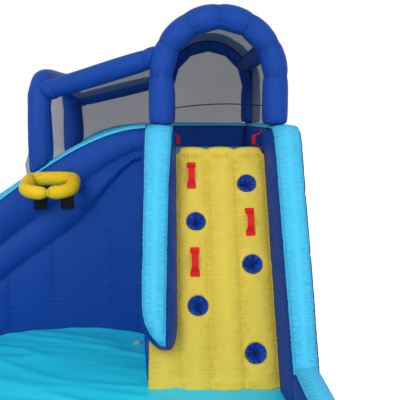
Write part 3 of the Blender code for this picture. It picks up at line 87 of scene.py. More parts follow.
bpy.ops.object.camera_add(location=CAMERA_PLACE, rotation=(CAMERA_TILT, 0, CAMERA_TURN))
camera = bpy.context.object
camera.name = "photo_camera"
camera.data.sensor_width = SENSOR_MM
camera.data.lens = FOCAL_PIXELS / PHOTO_PIXELS * SENSOR_MM
bpy.context.scene.camera = camera
bpy.context.scene.view_settings.view_transform = "Standard"
print("camera lens", round(camera.data.lens, 2), "mm, at", CAMERA_PLACE)

# %% [markdown]
# ## Tie cord
# A thin black cord is drawn across the climbing arch at a child's chest height. It is pulled tight
# and bows up a little, as one smooth curve between the two columns, and it goes into the cloth at
# both ends. Its thickness is the radius of its points, so its box is no wider than the cord.

# %% Cord across the climbing arch
CORD_DIAMETER = 0.008
CORD_REACH = 0.3197
CORD_Y = 0.3710
CORD_HEIGHT = 1.775
CORD_BOW = 0.022
CORD_TILT = 0.008
CORD_LEVEL_FROM = 0.9
CORD_STEPS = 24
LANE_X = 1.5109

route = []
for i in range(CORD_STEPS + 1):
    share = i / (CORD_STEPS / 2) - 1
    level = max(min(share, CORD_LEVEL_FROM), -CORD_LEVEL_FROM)
    height = CORD_HEIGHT + CORD_BOW * (1 - level * level) + CORD_TILT * level
    route.append(Vector((LANE_X + CORD_REACH * share, CORD_Y, height)))

curve = bpy.data.curves.new("tie_cord", "CURVE")
curve.dimensions = "3D"
curve.bevel_depth = 1.0
curve.bevel_resolution = 3
curve.use_fill_caps = True
spline = curve.splines.new("POLY")
spline.points.add(len(route) - 1)
for point, place in zip(spline.points, route):
    point.co = (*place, 1)
    point.radius = CORD_DIAMETER / 2
tie_cord = bpy.data.objects.new("tie_cord", curve)
bpy.context.scene.collection.objects.link(tie_cord)
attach(tie_cord, "park")
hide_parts("arch_tie_cord")

# %% [markdown]
# ## Colours and nodes
# Colours are written as they look on a screen, and one function turns them into the linear values
# that the renderer works with. One more function adds a node with its settings and its links.

# %% Helpers for materials
MIX_FIRST, MIX_SECOND, MIX_RESULT = 6, 7, 2  # the colour sockets of a Mix node


def linear(code):
    """Linear colour of a screen colour such as #1c4fc2, by the sRGB curve."""
    shares = [int(code[i:i + 2], 16) / 255 for i in (1, 3, 5)]
    return (*[s / 12.92 if s <= 0.04045 else ((s + 0.055) / 1.055) ** 2.4 for s in shares], 1.0)


def toned(base, times, lift=0.0):
    """A darker or lighter tone of a linear colour."""
    return (*[min(c * times + lift, 1.0) for c in base[:3]], 1.0)


def add(tree, kind, inputs=(), **settings):
    """A node of this kind. Its inputs are (socket, value or output) pairs."""
    made = tree.nodes.new(kind)
    for key, value in settings.items():
        setattr(made, key, value)
    for key, value in inputs:
        if isinstance(value, bpy.types.NodeSocket):
            tree.links.new(value, made.inputs[key])
        else:
            made.inputs[key].default_value = value
    return made


def blend(tree, factor, first, second):
    """A colour from first to second, by this factor. Each of the two is a colour or an output."""
    mix = add(tree, "ShaderNodeMix", [
        ("Factor", factor), (MIX_FIRST, first), (MIX_SECOND, second),
    ], data_type="RGBA")
    return mix.outputs[MIX_RESULT]


def new_material(name, roughness, **values):
    """A material with its Principled shader's plain values set, and what else is built on."""
    material = bpy.data.materials.new(name)
    material.use_nodes = True
    tree = material.node_tree
    shader = tree.nodes["Principled BSDF"]
    shader.inputs["Roughness"].default_value = roughness
    for key, value in values.items():
        shader.inputs[key.replace("_", " ")].default_value = value
    return material, tree, shader


print("blue cloth in linear values", [round(c, 3) for c in linear("#0d4198")])

# %% [markdown]
# ## Coated oxford cloth
# The chambers are sewn from woven polyester with a thin plastic coat on its back. It has a dull
# shine, a fine weave, and small gathers square to every seam, because the stitching draws the cloth
# up. Real threads are 0.4 mm apart, which no picture of a whole park can show, so the weave is
# drawn at 4 mm. The gathers follow three values stored on each point of the mesh: its distance from
# the nearest seam, how far along that seam it lies, and how hard the seam pulls on it. The colour
# has painted shade: it darkens in the valleys of the gathers, and the line along each seam is
# partly the thread's own colour and partly painted shade in the seam's groove.

# %% Cloth materials
WEAVE_MM = 4.0
WEAVE_STRENGTH = 0.08
WEAVE_DEPTH = 0.0015
MOTTLE_MM = 180.0
MOTTLE_DARK, MOTTLE_LIGHT, MOTTLE_LIFT = 0.90, 1.08, 0.004
# the seam line: partly the thread's own colour, partly painted shade in the seam's groove
STITCH_AND_SHADE_FULL, STITCH_AND_SHADE_GONE, STITCH_AND_SHADE_SHARE = 0.001, 0.009, 0.55
FOLD_LOW, FOLD_HIGH = 0.36, 0.62  # the part of the noise that makes a fold, from valley to ridge
FOLDS_AWAY = 9.0  # changes of a fold per metre away from the seam
FOLD_DEPTH = 0.008
# tone of the painted shade in the valleys of the gathers
FOLD_SHADE_TONE = 0.35
FOLD_SHADE_TO = 0.6


def coated_cloth(name, colour, stitch_and_shade, gather=0.8, roughness=0.55, shine=0.12, fold_mm=22.0,
                 fold_shade=0.35):
    """Coated woven polyester: mottle, weave, gathers, and painted shade in seam lines and folds."""
    material, tree, shader = new_material(name, roughness, IOR=1.5, Specular_IOR_Level=shine)
    place = add(tree, "ShaderNodeTexCoord").outputs["Object"]
    base = linear(colour)

    mottle = add(tree, "ShaderNodeTexNoise", [
        ("Vector", place), ("Scale", 1000 / MOTTLE_MM), ("Detail", 4.0), ("Roughness", 0.6),
    ])
    dark, light = toned(base, MOTTLE_DARK), toned(base, MOTTLE_LIGHT, MOTTLE_LIFT)
    cloth = blend(tree, mottle.outputs["Fac"], dark, light)
    far = add(tree, "ShaderNodeAttribute", attribute_name="seam_far").outputs["Fac"]
    # The line along each seam is partly the thread's colour and partly painted shade in its groove.
    line = add(tree, "ShaderNodeMapRange", [
        ("Value", far), ("From Min", STITCH_AND_SHADE_FULL), ("From Max", STITCH_AND_SHADE_GONE),
        ("To Min", STITCH_AND_SHADE_SHARE), ("To Max", 0.0),
    ])
    stitched_and_shaded = blend(tree, line.outputs[0], cloth, linear(stitch_and_shade))

    run = add(tree, "ShaderNodeAttribute", attribute_name="seam_run").outputs["Fac"]
    rows = add(tree, "ShaderNodeMath", [(0, run), (1, 1000 / fold_mm)], operation="MULTIPLY")
    away = add(tree, "ShaderNodeMath", [(0, far), (1, FOLDS_AWAY)], operation="MULTIPLY")
    spot = add(tree, "ShaderNodeCombineXYZ", [("X", rows.outputs[0]), ("Y", away.outputs[0])])
    folds = add(tree, "ShaderNodeTexNoise", [
        ("Vector", spot.outputs[0]), ("Scale", 1.0), ("Detail", 3.0), ("Roughness", 0.55),
    ])
    ridge = add(tree, "ShaderNodeMapRange", [
        ("Value", folds.outputs["Fac"]), ("From Min", FOLD_LOW), ("From Max", FOLD_HIGH),
    ])
    near = add(tree, "ShaderNodeAttribute", attribute_name="seam_pull").outputs["Fac"]
    height = add(tree, "ShaderNodeMath", [(0, ridge.outputs[0]), (1, near)], operation="MULTIPLY")

    # Painted shade: the colour darkens in the valleys of the gathers, where the folds would be in
    # shade.
    valley = add(tree, "ShaderNodeMapRange", [
        ("Value", ridge.outputs[0]), ("From Min", 0.0), ("From Max", FOLD_SHADE_TO),
        ("To Min", fold_shade), ("To Max", 0.0),
    ])
    shade = add(tree, "ShaderNodeMath", [(0, valley.outputs[0]), (1, near)], operation="MULTIPLY")
    shaded_in_folds = blend(tree, shade.outputs[0], stitched_and_shaded, toned(base, FOLD_SHADE_TONE))
    tree.links.new(shaded_in_folds, shader.inputs["Base Color"])

    gathers = add(tree, "ShaderNodeBump", [
        ("Strength", gather), ("Distance", FOLD_DEPTH), ("Height", height.outputs[0]),
    ])
    threads = add(tree, "ShaderNodeTexNoise", [
        ("Vector", place), ("Scale", 1000 / WEAVE_MM), ("Detail", 1.0),
    ])
    weave = add(tree, "ShaderNodeBump", [
        ("Strength", WEAVE_STRENGTH), ("Distance", WEAVE_DEPTH),
        ("Height", threads.outputs["Fac"]), ("Normal", gathers.outputs[0]),
    ])
    tree.links.new(weave.outputs[0], shader.inputs["Normal"])
    return material


BLUE_CLOTH = coated_cloth("blue_coated_oxford", "#0d4198", "#08286a", gather=1.0, fold_shade=0.3)
SKY_CLOTH = coated_cloth(
    "sky_coated_oxford", "#47bee6", "#2fa6d0", gather=1.0, fold_mm=15.0, fold_shade=0.2,
)
# The pool floor's cloth is a brighter copy of the light cloth. Its extra brightness is painted
# light from above.
POOL_CLOTH = coated_cloth(
    "pool_coated_oxford", "#26e8ff", "#1eb4dc", roughness=0.36, shine=0.45, fold_shade=0.1,
)
YELLOW_CLOTH = coated_cloth(
    "yellow_coated_oxford", "#d8c04a", "#e4b62e", gather=0.7, fold_mm=13.0, fold_shade=0.2,
)
HOOP_CLOTH = coated_cloth("gold_coated_oxford", "#e2bb1c", "#9c7a10")
# The pocket's base is a mid blue. Its dark second colour is painted shade, darkest at the middle.
POCKET_CLOTH = coated_cloth(
    "pocket_coated_oxford_painted_shade", "#1c50c0", "#05123a",
    gather=1.2, shine=0.3, fold_mm=26.0, fold_shade=0.8,
)
print("cloths", len(bpy.data.materials))

# %% [markdown]
# ## Webbing, net and moulded plastic
# Handles, loops and tapes are woven belts with a coarse grain. The net is a knitted polyester mesh:
# its holes are about 2 mm wide, too fine to draw one by one, so the material lets a share of the
# light through and has a faint grain. The zip's slider and the drain are moulded plastic.

# %% Other materials
BELT_GRAIN_MM = 5.0
NET_GRAINS = 110.0  # per metre, so each is about 9 mm
PLASTIC_GRAINS = 600.0  # per metre, so each is about 1.7 mm


def grained(tree, shader, colour, scale, detail, dark, light):
    """Colour the shader in two tones of a colour, by a fine noise, and hand the noise back."""
    place = add(tree, "ShaderNodeTexCoord").outputs["Object"]
    base = linear(colour)
    grain = add(tree, "ShaderNodeTexNoise", [
        ("Vector", place), ("Scale", scale), ("Detail", detail),
    ]).outputs["Fac"]
    tones = blend(tree, grain, toned(base, dark), toned(base, light))
    tree.links.new(tones, shader.inputs["Base Color"])
    return grain


def relief(tree, shader, height, strength, distance):
    """Bump the shader's surface by a noise."""
    bump = add(tree, "ShaderNodeBump", [
        ("Strength", strength), ("Distance", distance), ("Height", height),
    ])
    tree.links.new(bump.outputs[0], shader.inputs["Normal"])


def webbing(name, colour):
    """Woven belt: a coarse grain in its colour and its surface."""
    material, tree, shader = new_material(name, 0.75, Specular_IOR_Level=0.2)
    grain = grained(tree, shader, colour, 1000 / BELT_GRAIN_MM, 2.0, 0.7, 1.15)
    relief(tree, shader, grain, 0.3, 0.001)
    return material


def mesh_net(name, colour, solid):
    """Knitted mesh: grey thread, with the share of it that is solid as its alpha."""
    material, tree, shader = new_material(name, 0.85, Alpha=solid, Specular_IOR_Level=0.1)
    grained(tree, shader, colour, NET_GRAINS, 3.0, 0.72, 1.28)
    return material


def moulded(name, colour, roughness):
    """Injection moulded plastic, with a faint texture."""
    material, tree, shader = new_material(name, roughness, IOR=1.46)
    grain = grained(tree, shader, colour, PLASTIC_GRAINS, 2.0, 0.92, 1.05)
    relief(tree, shader, grain, 0.1, 0.0005)
    return material


RED_WEBBING = webbing("red_polyester_webbing", "#e01a22")
BLACK_WEBBING = webbing("black_polyester_webbing", "#0a0a0e")
NET_MESH = mesh_net("grey_knitted_mesh", "#88858d", 0.86)
FLANGE_PLASTIC = moulded("pale_moulded_plastic", "#4fb0d4", 0.4)
GREY_PLASTIC = moulded("grey_moulded_plastic", "#a9b4bc", 0.4)
print("materials", sorted(material.name for material in bpy.data.materials))

# %% [markdown]
# ## Stage
# A white floor and a white sky, with one broad lamp high at the front left and a weak one at the
# front right. The sky looks plain white to the camera and gives a softer light to the park.

# %% Floor, sky and lamps
FLOOR_SIZE = 60
FLOOR_LEVEL = -0.002
FLOOR_GLOW = 0.7
SKY_STRENGTH = 0.68

bpy.ops.mesh.primitive_plane_add(size=FLOOR_SIZE, location=(0, 0, FLOOR_LEVEL))
floor = bpy.context.object
floor.name = "studio_floor"
material, tree, shader = new_material("white_floor", 0.9)
shader.inputs["Base Color"].default_value = linear("#f2f2f2")
shader.inputs["Emission Color"].default_value = (1, 1, 1, 1)
path = add(tree, "ShaderNodeLightPath")
glow = add(tree, "ShaderNodeMath", [
    (0, path.outputs["Is Camera Ray"]), (1, FLOOR_GLOW),
], operation="MULTIPLY")
tree.links.new(glow.outputs[0], shader.inputs["Emission Strength"])
floor.data.materials.append(material)

world = bpy.data.worlds.new("studio_sky")
bpy.context.scene.world = world
world.use_nodes = True
tree = world.node_tree
tree.nodes.clear()
path = add(tree, "ShaderNodeLightPath")
seen = add(tree, "ShaderNodeMath", [
    (0, path.outputs["Is Camera Ray"]), (1, path.outputs["Is Glossy Ray"]),
], operation="MAXIMUM")
seen = add(tree, "ShaderNodeMath", [
    (0, seen.outputs[0]), (1, path.outputs["Is Transmission Ray"]),
], operation="MAXIMUM")
light = add(tree, "ShaderNodeBackground", [
    ("Color", linear("#eef3fa")), ("Strength", SKY_STRENGTH),
])
white = add(tree, "ShaderNodeBackground", [("Color", (1, 1, 1, 1)), ("Strength", 1.0)])
both = add(tree, "ShaderNodeMixShader", [
    (0, seen.outputs[0]), (1, light.outputs[0]), (2, white.outputs[0]),
])
add(tree, "ShaderNodeOutputWorld", [("Surface", both.outputs[0])])


def lamp(name, location, target, size, watts, shade):
    """A square soft lamp that shines at target."""
    bpy.ops.object.light_add(type="AREA", location=location)
    made = bpy.context.object
    made.name = name
    made.data.size = size
    made.data.energy = watts
    made.data.color = linear(shade)[:3]
    aim = Vector(target) - Vector(location)
    made.rotation_euler = aim.to_track_quat("-Z", "Y").to_euler()
    print(name, watts, "W at", location)


lamp("key_lamp", (-1.6, -7.7, 5.8), (0.6, 0.0, 0.8), 4.5, 478, "#fffaf2")
lamp("fill_lamp", (5.5, -6.0, 4.5), (1.0, 0.0, 0.8), 4.0, 130, "#f2f6ff")

# %% [markdown]
# ## From a plain solid to a sewn chamber
# A chamber is a bag of cloth blown tight, so it is round between its seams and sharp only at them.
# The steps are those of a cushion: copy the CAD solid, keep its outside, crease the seams,
# subdivide so that everything between them turns round, remesh to even squares, and then draw the
# cloth in along each seam in small irregular gathers. First come the copy and its outside. The
# lining of a hollow chamber is found by looking out from it: nearly every look ends on the chamber.

# %% Copy a solid and keep its outside
WELD = 0.0002
QUAD_FLATNESS = math.radians(8)
QUAD_SHAPE = math.radians(70)
LINING_BEND = math.radians(50)
LINING_BLOCKED = 0.86
LOOK_COUNT = 72
LOOK_START = 0.0005
LOOK_SLANT = 0.1
GOLDEN_ANGLE = 2.399963

LOOKS = []
for i in range(LOOK_COUNT):
    height = 1 - (2 * i + 1) / LOOK_COUNT
    flat = math.sqrt(1 - height * height)
    turn = GOLDEN_ANGLE * i
    LOOKS.append(Vector((flat * math.cos(turn), flat * math.sin(turn), height)))


def only(obj):
    """Make this the only selected object."""
    if bpy.context.mode != "OBJECT":
        bpy.ops.object.mode_set(mode="OBJECT")
    bpy.ops.object.select_all(action="DESELECT")
    obj.select_set(True)
    bpy.context.view_layer.objects.active = obj


def solid_copy(name, node):
    """A copy of a CAD node, with its loose triangles merged into one mesh, of squares if it can."""
    obj = bpy.data.objects.new(name, frame["nodes"][node].data.copy())
    bpy.context.scene.collection.objects.link(obj)
    obj.data.materials.clear()
    for layer in list(obj.data.uv_layers):
        obj.data.uv_layers.remove(layer)
    only(obj)
    bpy.ops.object.mode_set(mode="EDIT")
    bpy.ops.mesh.select_all(action="SELECT")
    bpy.ops.mesh.remove_doubles(threshold=WELD)
    bpy.ops.mesh.customdata_custom_splitnormals_clear()
    bpy.ops.mesh.tris_convert_to_quads(face_threshold=QUAD_FLATNESS, shape_threshold=QUAD_SHAPE)
    bpy.ops.object.mode_set(mode="OBJECT")
    return obj


def smooth_runs(bm, bend):
    """The faces of a mesh in runs that meet at no more than this bend."""
    runs = []
    taken = set()
    for seed in bm.faces:
        if seed in taken:
            continue
        run = [seed]
        taken.add(seed)
        for face in run:
            for edge in face.edges:
                if len(edge.link_faces) == 2 and edge.calc_face_angle(0.0) <= bend:
                    for other in edge.link_faces:
                        if other not in taken:
                            taken.add(other)
                            run.append(other)
        runs.append(run)
    return runs


def keep_outside(obj):
    """Remove the lining of a hollow chamber and close its mouth. A lining can hardly see out."""
    bm = bmesh.new()
    bm.from_mesh(obj.data)
    tree = BVHTree.FromBMesh(bm)
    hidden = []
    for run in smooth_runs(bm, LINING_BEND):
        blocked = total = 0.0
        for face in run:
            start = face.calc_center_median() + face.normal * LOOK_START
            for look in LOOKS:
                if look.dot(face.normal) > LOOK_SLANT:
                    total += face.calc_area()
                    if tree.ray_cast(start, look)[0] is not None:
                        blocked += face.calc_area()
        if total and blocked > LINING_BLOCKED * total:
            hidden += run
    if hidden:
        bmesh.ops.delete(bm, geom=hidden, context="FACES")
        loops = [edge for edge in bm.edges if edge.is_boundary]
        bmesh.ops.holes_fill(bm, edges=loops, sides=0)
        bmesh.ops.recalc_face_normals(bm, faces=bm.faces)
    bm.to_mesh(obj.data)
    bm.free()
    return len(hidden)


print("looks from each face", len(LOOKS))

# %% [markdown]
# ## Seams
# A seam is a valley of the solid or a sharp corner. It is creased before the solid is subdivided,
# and its line is walked from end to end, so that later each point of the cloth can be told how far
# along its nearest seam it lies.

# %% Find, crease and walk the seams
SEAM_VALLEY = math.radians(9.5)
SEAM_CORNER = math.radians(38)
CAP_VALLEY = math.radians(30)
SEAM_STEP = 0.006
GROUND_BAND = 0.02  # seams lower than this are on the ground and draw nothing in
RIM_LENGTH = 0.5  # a closed seam shorter than this is the rim of a pocket
SMOOTH_ROUNDS = 2


def is_seam(edge, valley):
    """Whether an edge is open, a valley deeper than this, or a sharp corner."""
    if len(edge.link_faces) != 2:
        return True
    turn = edge.calc_face_angle_signed(0.0)
    return turn < -valley or turn > SEAM_CORNER


def crease_seams(obj, valley, hold=1.0):
    """Crease the seams by hold, and nothing else."""
    bm = bmesh.new()
    bm.from_mesh(obj.data)
    layers = bm.edges.layers.float
    crease = layers.get("crease_edge") or layers.new("crease_edge")
    for edge in bm.edges:
        edge[crease] = hold if is_seam(edge, valley) else 0.0
    bm.to_mesh(obj.data)
    bm.free()


def round_out(obj, levels):
    """Subdivide, so that the cloth between the creases is round."""
    only(obj)
    divide = obj.modifiers.new("round", "SUBSURF")
    divide.levels = levels
    divide.render_levels = levels
    bpy.ops.object.modifier_apply(modifier=divide.name)


def seam_paths(obj, valley):
    """Points along the seams (place, way along the seam, seam number), and the pocket rims."""
    bm = bmesh.new()
    bm.from_mesh(obj.data)
    links = {}
    for edge in bm.edges:
        if is_seam(edge, valley):
            a, b = edge.verts
            if max(a.co.z, b.co.z) < GROUND_BAND:
                continue
            links.setdefault(a.index, []).append(b.index)
            links.setdefault(b.index, []).append(a.index)
    bm.verts.ensure_lookup_table()
    places = {i: bm.verts[i].co.copy() for i in links}
    bm.free()
    used = set()
    found = []
    rims = set()
    number = 0
    starts = sorted(links, key=lambda i: (len(links[i]) == 2, i))
    for start in starts:
        for step in links[start]:
            if (min(start, step), max(start, step)) in used:
                continue
            number += 1
            run = 0.0
            here, there = start, step
            while True:
                used.add((min(here, there), max(here, there)))
                span = (places[there] - places[here]).length
                count = max(1, int(span / SEAM_STEP))
                for k in range(count):
                    share = k / count
                    place = places[here].lerp(places[there], share)
                    found.append((place, run + span * share, number))
                run += span
                ahead = [n for n in links[there] if (min(there, n), max(there, n)) not in used]
                if len(links[there]) != 2 or not ahead:
                    break
                here, there = there, ahead[0]
            if there == start and run < RIM_LENGTH:
                rims.add(number)
    return found, rims


def remesh(obj, size):
    """Even squares of this size, with the steps at slanting edges smoothed."""
    only(obj)
    grid = obj.modifiers.new("even", "REMESH")
    grid.mode = "VOXEL"
    grid.voxel_size = size
    grid.use_smooth_shade = True
    bpy.ops.object.modifier_apply(modifier=grid.name)
    bpy.ops.object.mode_set(mode="EDIT")
    bpy.ops.mesh.select_all(action="SELECT")
    bpy.ops.mesh.vertices_smooth(factor=0.5, repeat=SMOOTH_ROUNDS)
    bpy.ops.object.mode_set(mode="OBJECT")


print("a seam is a valley over", round(math.degrees(SEAM_VALLEY), 1), "degrees")

# %% [markdown]
# ## Gathers
# Every point moves along its own normal. Near a seam it goes in, by waves that run along the seam
# and by a groove at the stitches. Away from the seam it swells out, and the whole cloth has a
# little slack. Where the nearest seam changes from one point to the next, the pull fades, so that
# no crack shows.

# %% Draw the cloth in along its seams
PULL_REACH = 0.07
NO_SEAM = 1.0
SEAM_SHIFT = 3.7  # moves each seam's waves on, so that no two are alike
RIM_PULL = 0.2
JUMP_SLOPE = 3  # the way along a seam jumps where it changes this much faster than the place
FADE_ROUNDS = 3
FADE_STEP = 0.34
WAVE_AWAY = 0.16
WAVE_GAIN, WAVE_BASE, PULL_BASE = 2.2, 0.5, 0.35
GROOVE_REACH = 0.012
SWELL_REACH = 0.035
SLACK = 0.0012
SLACK_WAVES = 6.0
ROUND_LEVELS = 2


def gather(obj, seams, rims, deep, spacing=0.026, groove=0.002, swell=0.003, grow=0.0, pull=1.0):
    """Draw the cloth in along the seams, and store each point's place beside them.

    deep is the depth of a gather and spacing the length of one along the seam. groove is the depth
    of the stitch line, swell the height between seams, and grow moves the whole cloth out. pull
    weakens all gathers.
    """
    mesh = obj.data
    count = len(mesh.vertices)
    points = np.empty(count * 3, np.float32)
    normals = np.empty(count * 3, np.float32)
    mesh.vertices.foreach_get("co", points)
    mesh.vertices.foreach_get("normal", normals)
    points = points.reshape(-1, 3)
    normals = normals.reshape(-1, 3)
    far = np.full(count, NO_SEAM, np.float32)
    run = np.zeros(count, np.float32)
    ease = np.ones(count, np.float32)
    if seams:
        tree = KDTree(len(seams))
        for i, (place, _, _) in enumerate(seams):
            tree.insert(place, i)
        tree.balance()
        for i in range(count):
            _, index, distance = tree.find(points[i])
            _, way, number = seams[index]
            far[i] = distance
            run[i] = way + number * SEAM_SHIFT
            if number in rims:
                ease[i] = RIM_PULL

    ends = np.empty(len(mesh.edges) * 2, np.int32)
    mesh.edges.foreach_get("vertices", ends)
    one, two = ends.reshape(-1, 2).T
    apart = np.linalg.norm(points[one] - points[two], axis=1)
    split = np.abs(run[one] - run[two]) > JUMP_SLOPE * apart
    ease[one[split]] = 0.0
    ease[two[split]] = 0.0
    for _ in range(FADE_ROUNDS):
        level = ease.copy()
        np.minimum.at(level, one, ease[two] + FADE_STEP)
        np.minimum.at(level, two, ease[one] + FADE_STEP)
        ease = level

    fade = np.exp(-far / PULL_REACH) * ease * pull
    waves = np.array([
        abs(noise((r / spacing, f / WAVE_AWAY, 0.0))) * WAVE_GAIN - WAVE_BASE
        for r, f in zip(run, far)
    ], np.float32)
    loose = np.array([
        noise((p[0] * SLACK_WAVES, p[1] * SLACK_WAVES, p[2] * SLACK_WAVES)) for p in points
    ], np.float32)
    dip = groove * np.exp(-((far / GROOVE_REACH) ** 2))
    move = -deep * fade * (PULL_BASE + waves) - dip + SLACK * loose
    move += grow + swell * (1 - np.exp(-((far / SWELL_REACH) ** 2)))
    points = points + normals * move[:, None]
    mesh.vertices.foreach_set("co", points.ravel())
    for name, values in (("seam_far", far), ("seam_run", run), ("seam_pull", fade)):
        layer = mesh.attributes.get(name) or mesh.attributes.new(name, "FLOAT", "POINT")
        layer.data.foreach_set("value", values)
    mesh.update()


def chamber(name, node, material, size, deep=0.004, hollow=False, valley=SEAM_VALLEY, hold=1.0,
            **cloth):
    """A CAD chamber as a sewn bag of cloth, blown tight."""
    obj = solid_copy(name, node)
    if hollow:
        total = len(frame["nodes"][node].data.polygons)
        print(name, "lining faces", keep_outside(obj), "of", total)
    crease_seams(obj, valley, hold)
    seams, rims = seam_paths(obj, valley)
    round_out(obj, ROUND_LEVELS)
    remesh(obj, size)
    gather(obj, seams, rims, deep, **cloth)
    obj.data.materials.append(material)
    obj.data.shade_smooth()
    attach(obj, "park")
    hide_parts(node)
    print(name, "points", len(obj.data.vertices), "seam points", len(seams))


print("gathers fade over", PULL_REACH, "m")

# %% [markdown]
# ## Tower, lane and arches
# The blue chambers carry everything else, and the light crowns are sewn along their tops.

# %% Chambers near the camera
chamber("left_bumper_cloth", "left_bumper", BLUE_CLOTH, 0.007)
chamber("left_bumper_cap", "left_bumper_crown", SKY_CLOTH, 0.006, 0.003, valley=CAP_VALLEY)
chamber("right_bumper_cloth", "right_bumper", BLUE_CLOTH, 0.008)
chamber("right_bumper_cap", "right_bumper_crown", SKY_CLOTH, 0.006, 0.003, valley=CAP_VALLEY)
chamber("climbing_wall_cloth", "climbing_wall", YELLOW_CLOTH, 0.008, 0.003)
for tube in (
    "climbing_arch", "rear_arch", "slide_arch", "front_rail", "rear_rail", "shoulder_link",
):
    chamber(
        tube + "_cloth", tube, BLUE_CLOTH, 0.009, 0.003,
        hold=0.3, groove=0.001, swell=0.002, grow=0.006,
    )
chamber("hoop_cloth", "hoop_ring", HOOP_CLOTH, 0.004, 0.002, spacing=0.014, swell=0.008)

# %% [markdown]
# ## Slide, tower base and pool walls
# These chambers are large and mostly far from the camera or seen from the back, so their squares
# are larger. Most are hollow and open to a neighbour, and only their outside is dressed.

# %% Big chambers
chamber("slide_inner_cloth", "slide_inner_wall", BLUE_CLOTH, 0.012, hollow=True, pull=0.35)
chamber("slide_inner_cap", "slide_inner_crown", SKY_CLOTH, 0.008, 0.003)
chamber("slide_outer_cloth", "slide_outer_wall", BLUE_CLOTH, 0.014, hollow=True)
chamber("slide_outer_cap", "slide_outer_crown", SKY_CLOTH, 0.009, 0.003)
chamber("slide_bed_cloth", "slide_bed", SKY_CLOTH, 0.014, 0.004)
chamber("climb_block_cloth", "climb_block", BLUE_CLOTH, 0.014, hollow=True)
chamber("tower_base_cloth", "tower_base", BLUE_CLOTH, 0.014, hollow=True)
chamber("platform_cloth", "platform_floor", SKY_CLOTH, 0.012, hollow=True)
chamber("right_parapet_cloth", "right_parapet", BLUE_CLOTH, 0.010)
chamber("rear_parapet_cloth", "rear_parapet", BLUE_CLOTH, 0.010)
chamber("entry_post_cloth", "entry_post", BLUE_CLOTH, 0.008)
chamber("parapet_cap", "parapet_crown", SKY_CLOTH, 0.008, 0.003)
chamber("right_pool_cloth", "right_pool_wall", BLUE_CLOTH, 0.010, hollow=True)
chamber("front_pool_cloth", "front_pool_wall", BLUE_CLOTH, 0.012, hollow=True)
chamber("left_pool_cloth", "left_pool_wall", BLUE_CLOTH, 0.012, hollow=True)
chamber("pool_cap", "pool_wall_crown", SKY_CLOTH, 0.009, 0.003)

# %% [markdown]
# ## Nets
# A net is one layer of knitted mesh, sewn to the tubes round it and pulled nearly flat. Each one is
# a broad face of its CAD panel, divided into small squares and let out a little between its edges.

# %% Nets between the tubes
BROAD_BEND = math.radians(40)
NET_REACH = 0.018
NET_BILLOW = 0.006
BILLOW_WAVES = 3.0
BILLOW_EASE = 0.15
NET_CUTS = {
    "rear_net": 2, "right_side_net": 4, "tower_roof_net": 2, "front_slide_net": 1,
    "rear_slide_net": 2, "slide_roof_net": 3,
}
HEM_FROM_X, HEM_EASE_X = -0.06, 0.15
HEM_FROM_Z, HEM_EASE_Z = 1.35, 0.45
HEM_LIFT = 0.11
HEM_TOP = 1.94


def clamped(value):
    """A value held between 0 and 1."""
    return min(max(value, 0.0), 1.0)


def one_side(obj):
    """Keep one broad side of a thin solid."""
    bm = bmesh.new()
    bm.from_mesh(obj.data)
    runs = smooth_runs(bm, BROAD_BEND)
    broad = set(max(runs, key=lambda run: sum(face.calc_area() for face in run)))
    rest = [face for face in bm.faces if face not in broad]
    bmesh.ops.delete(bm, geom=rest, context="FACES")
    bm.to_mesh(obj.data)
    bm.free()


def let_out(obj):
    """Push a net's rim out into the tubes that it is sewn to, and let its middle billow."""
    bm = bmesh.new()
    bm.from_mesh(obj.data)
    rim = [vert for vert in bm.verts if vert.is_boundary]
    moves = {}
    for vert in rim:
        faces = vert.link_faces
        inside = sum((face.calc_center_median() for face in faces), Vector()) / len(faces)
        away = vert.co - inside
        away -= vert.normal * away.dot(vert.normal)
        moves[vert] = away.normalized() * NET_REACH if away.length > 1e-6 else Vector()
    tree = KDTree(len(rim))
    for i, vert in enumerate(rim):
        tree.insert(vert.co, i)
    tree.balance()
    for vert in bm.verts:
        far = tree.find(vert.co)[2]
        wave = noise(vert.co * BILLOW_WAVES)
        vert.co += vert.normal * NET_BILLOW * wave * min(far / BILLOW_EASE, 1.0)
    for vert, move in moves.items():
        vert.co += move
    bm.to_mesh(obj.data)
    bm.free()


def fuller_hem(place):
    """The height of the front net's points, pulled up towards the rail at its rear end."""
    share = clamped((place.x - HEM_FROM_X) / HEM_EASE_X)
    share *= clamped((place.z - HEM_FROM_Z) / HEM_EASE_Z)
    return max(place.z, min(place.z + HEM_LIFT * share, HEM_TOP))


def net(name, node, raised=None):
    """A net from its CAD panel. raised, where it is given, sets the height of its points."""
    obj = solid_copy(name, node)
    one_side(obj)
    only(obj)
    bpy.ops.object.mode_set(mode="EDIT")
    bpy.ops.mesh.select_all(action="SELECT")
    bpy.ops.mesh.quads_convert_to_tris()
    for _ in range(NET_CUTS[node]):
        bpy.ops.mesh.subdivide(number_cuts=1)
    bpy.ops.object.mode_set(mode="OBJECT")
    let_out(obj)
    if raised:
        for vert in obj.data.vertices:
            vert.co.z = raised(vert.co)
    obj.data.materials.append(NET_MESH)
    obj.data.shade_smooth()
    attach(obj, "park")
    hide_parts(node)


net("rear_net_mesh", "rear_net")
net("right_side_net_mesh", "right_side_net")
net("tower_roof_mesh", "tower_roof_net")
net(
    "front_slide_mesh", "front_slide_net",
    fuller_hem,
)
net("rear_slide_mesh", "rear_slide_net")
net("slide_roof_mesh", "slide_roof_net")

# %% [markdown]
# ## Pool floor and ground sheet
# The pool floor is a loose sheet of the light cloth that lies on the ground, so it has long low
# wrinkles. Its cloth is a brighter copy of the light cloth, and the extra brightness is painted
# light from above. It is a grid cut to the outline of the CAD sheet and raised by stretched noise,
# but not under the walls and not round the drain, whose flange clamps the cloth flat.

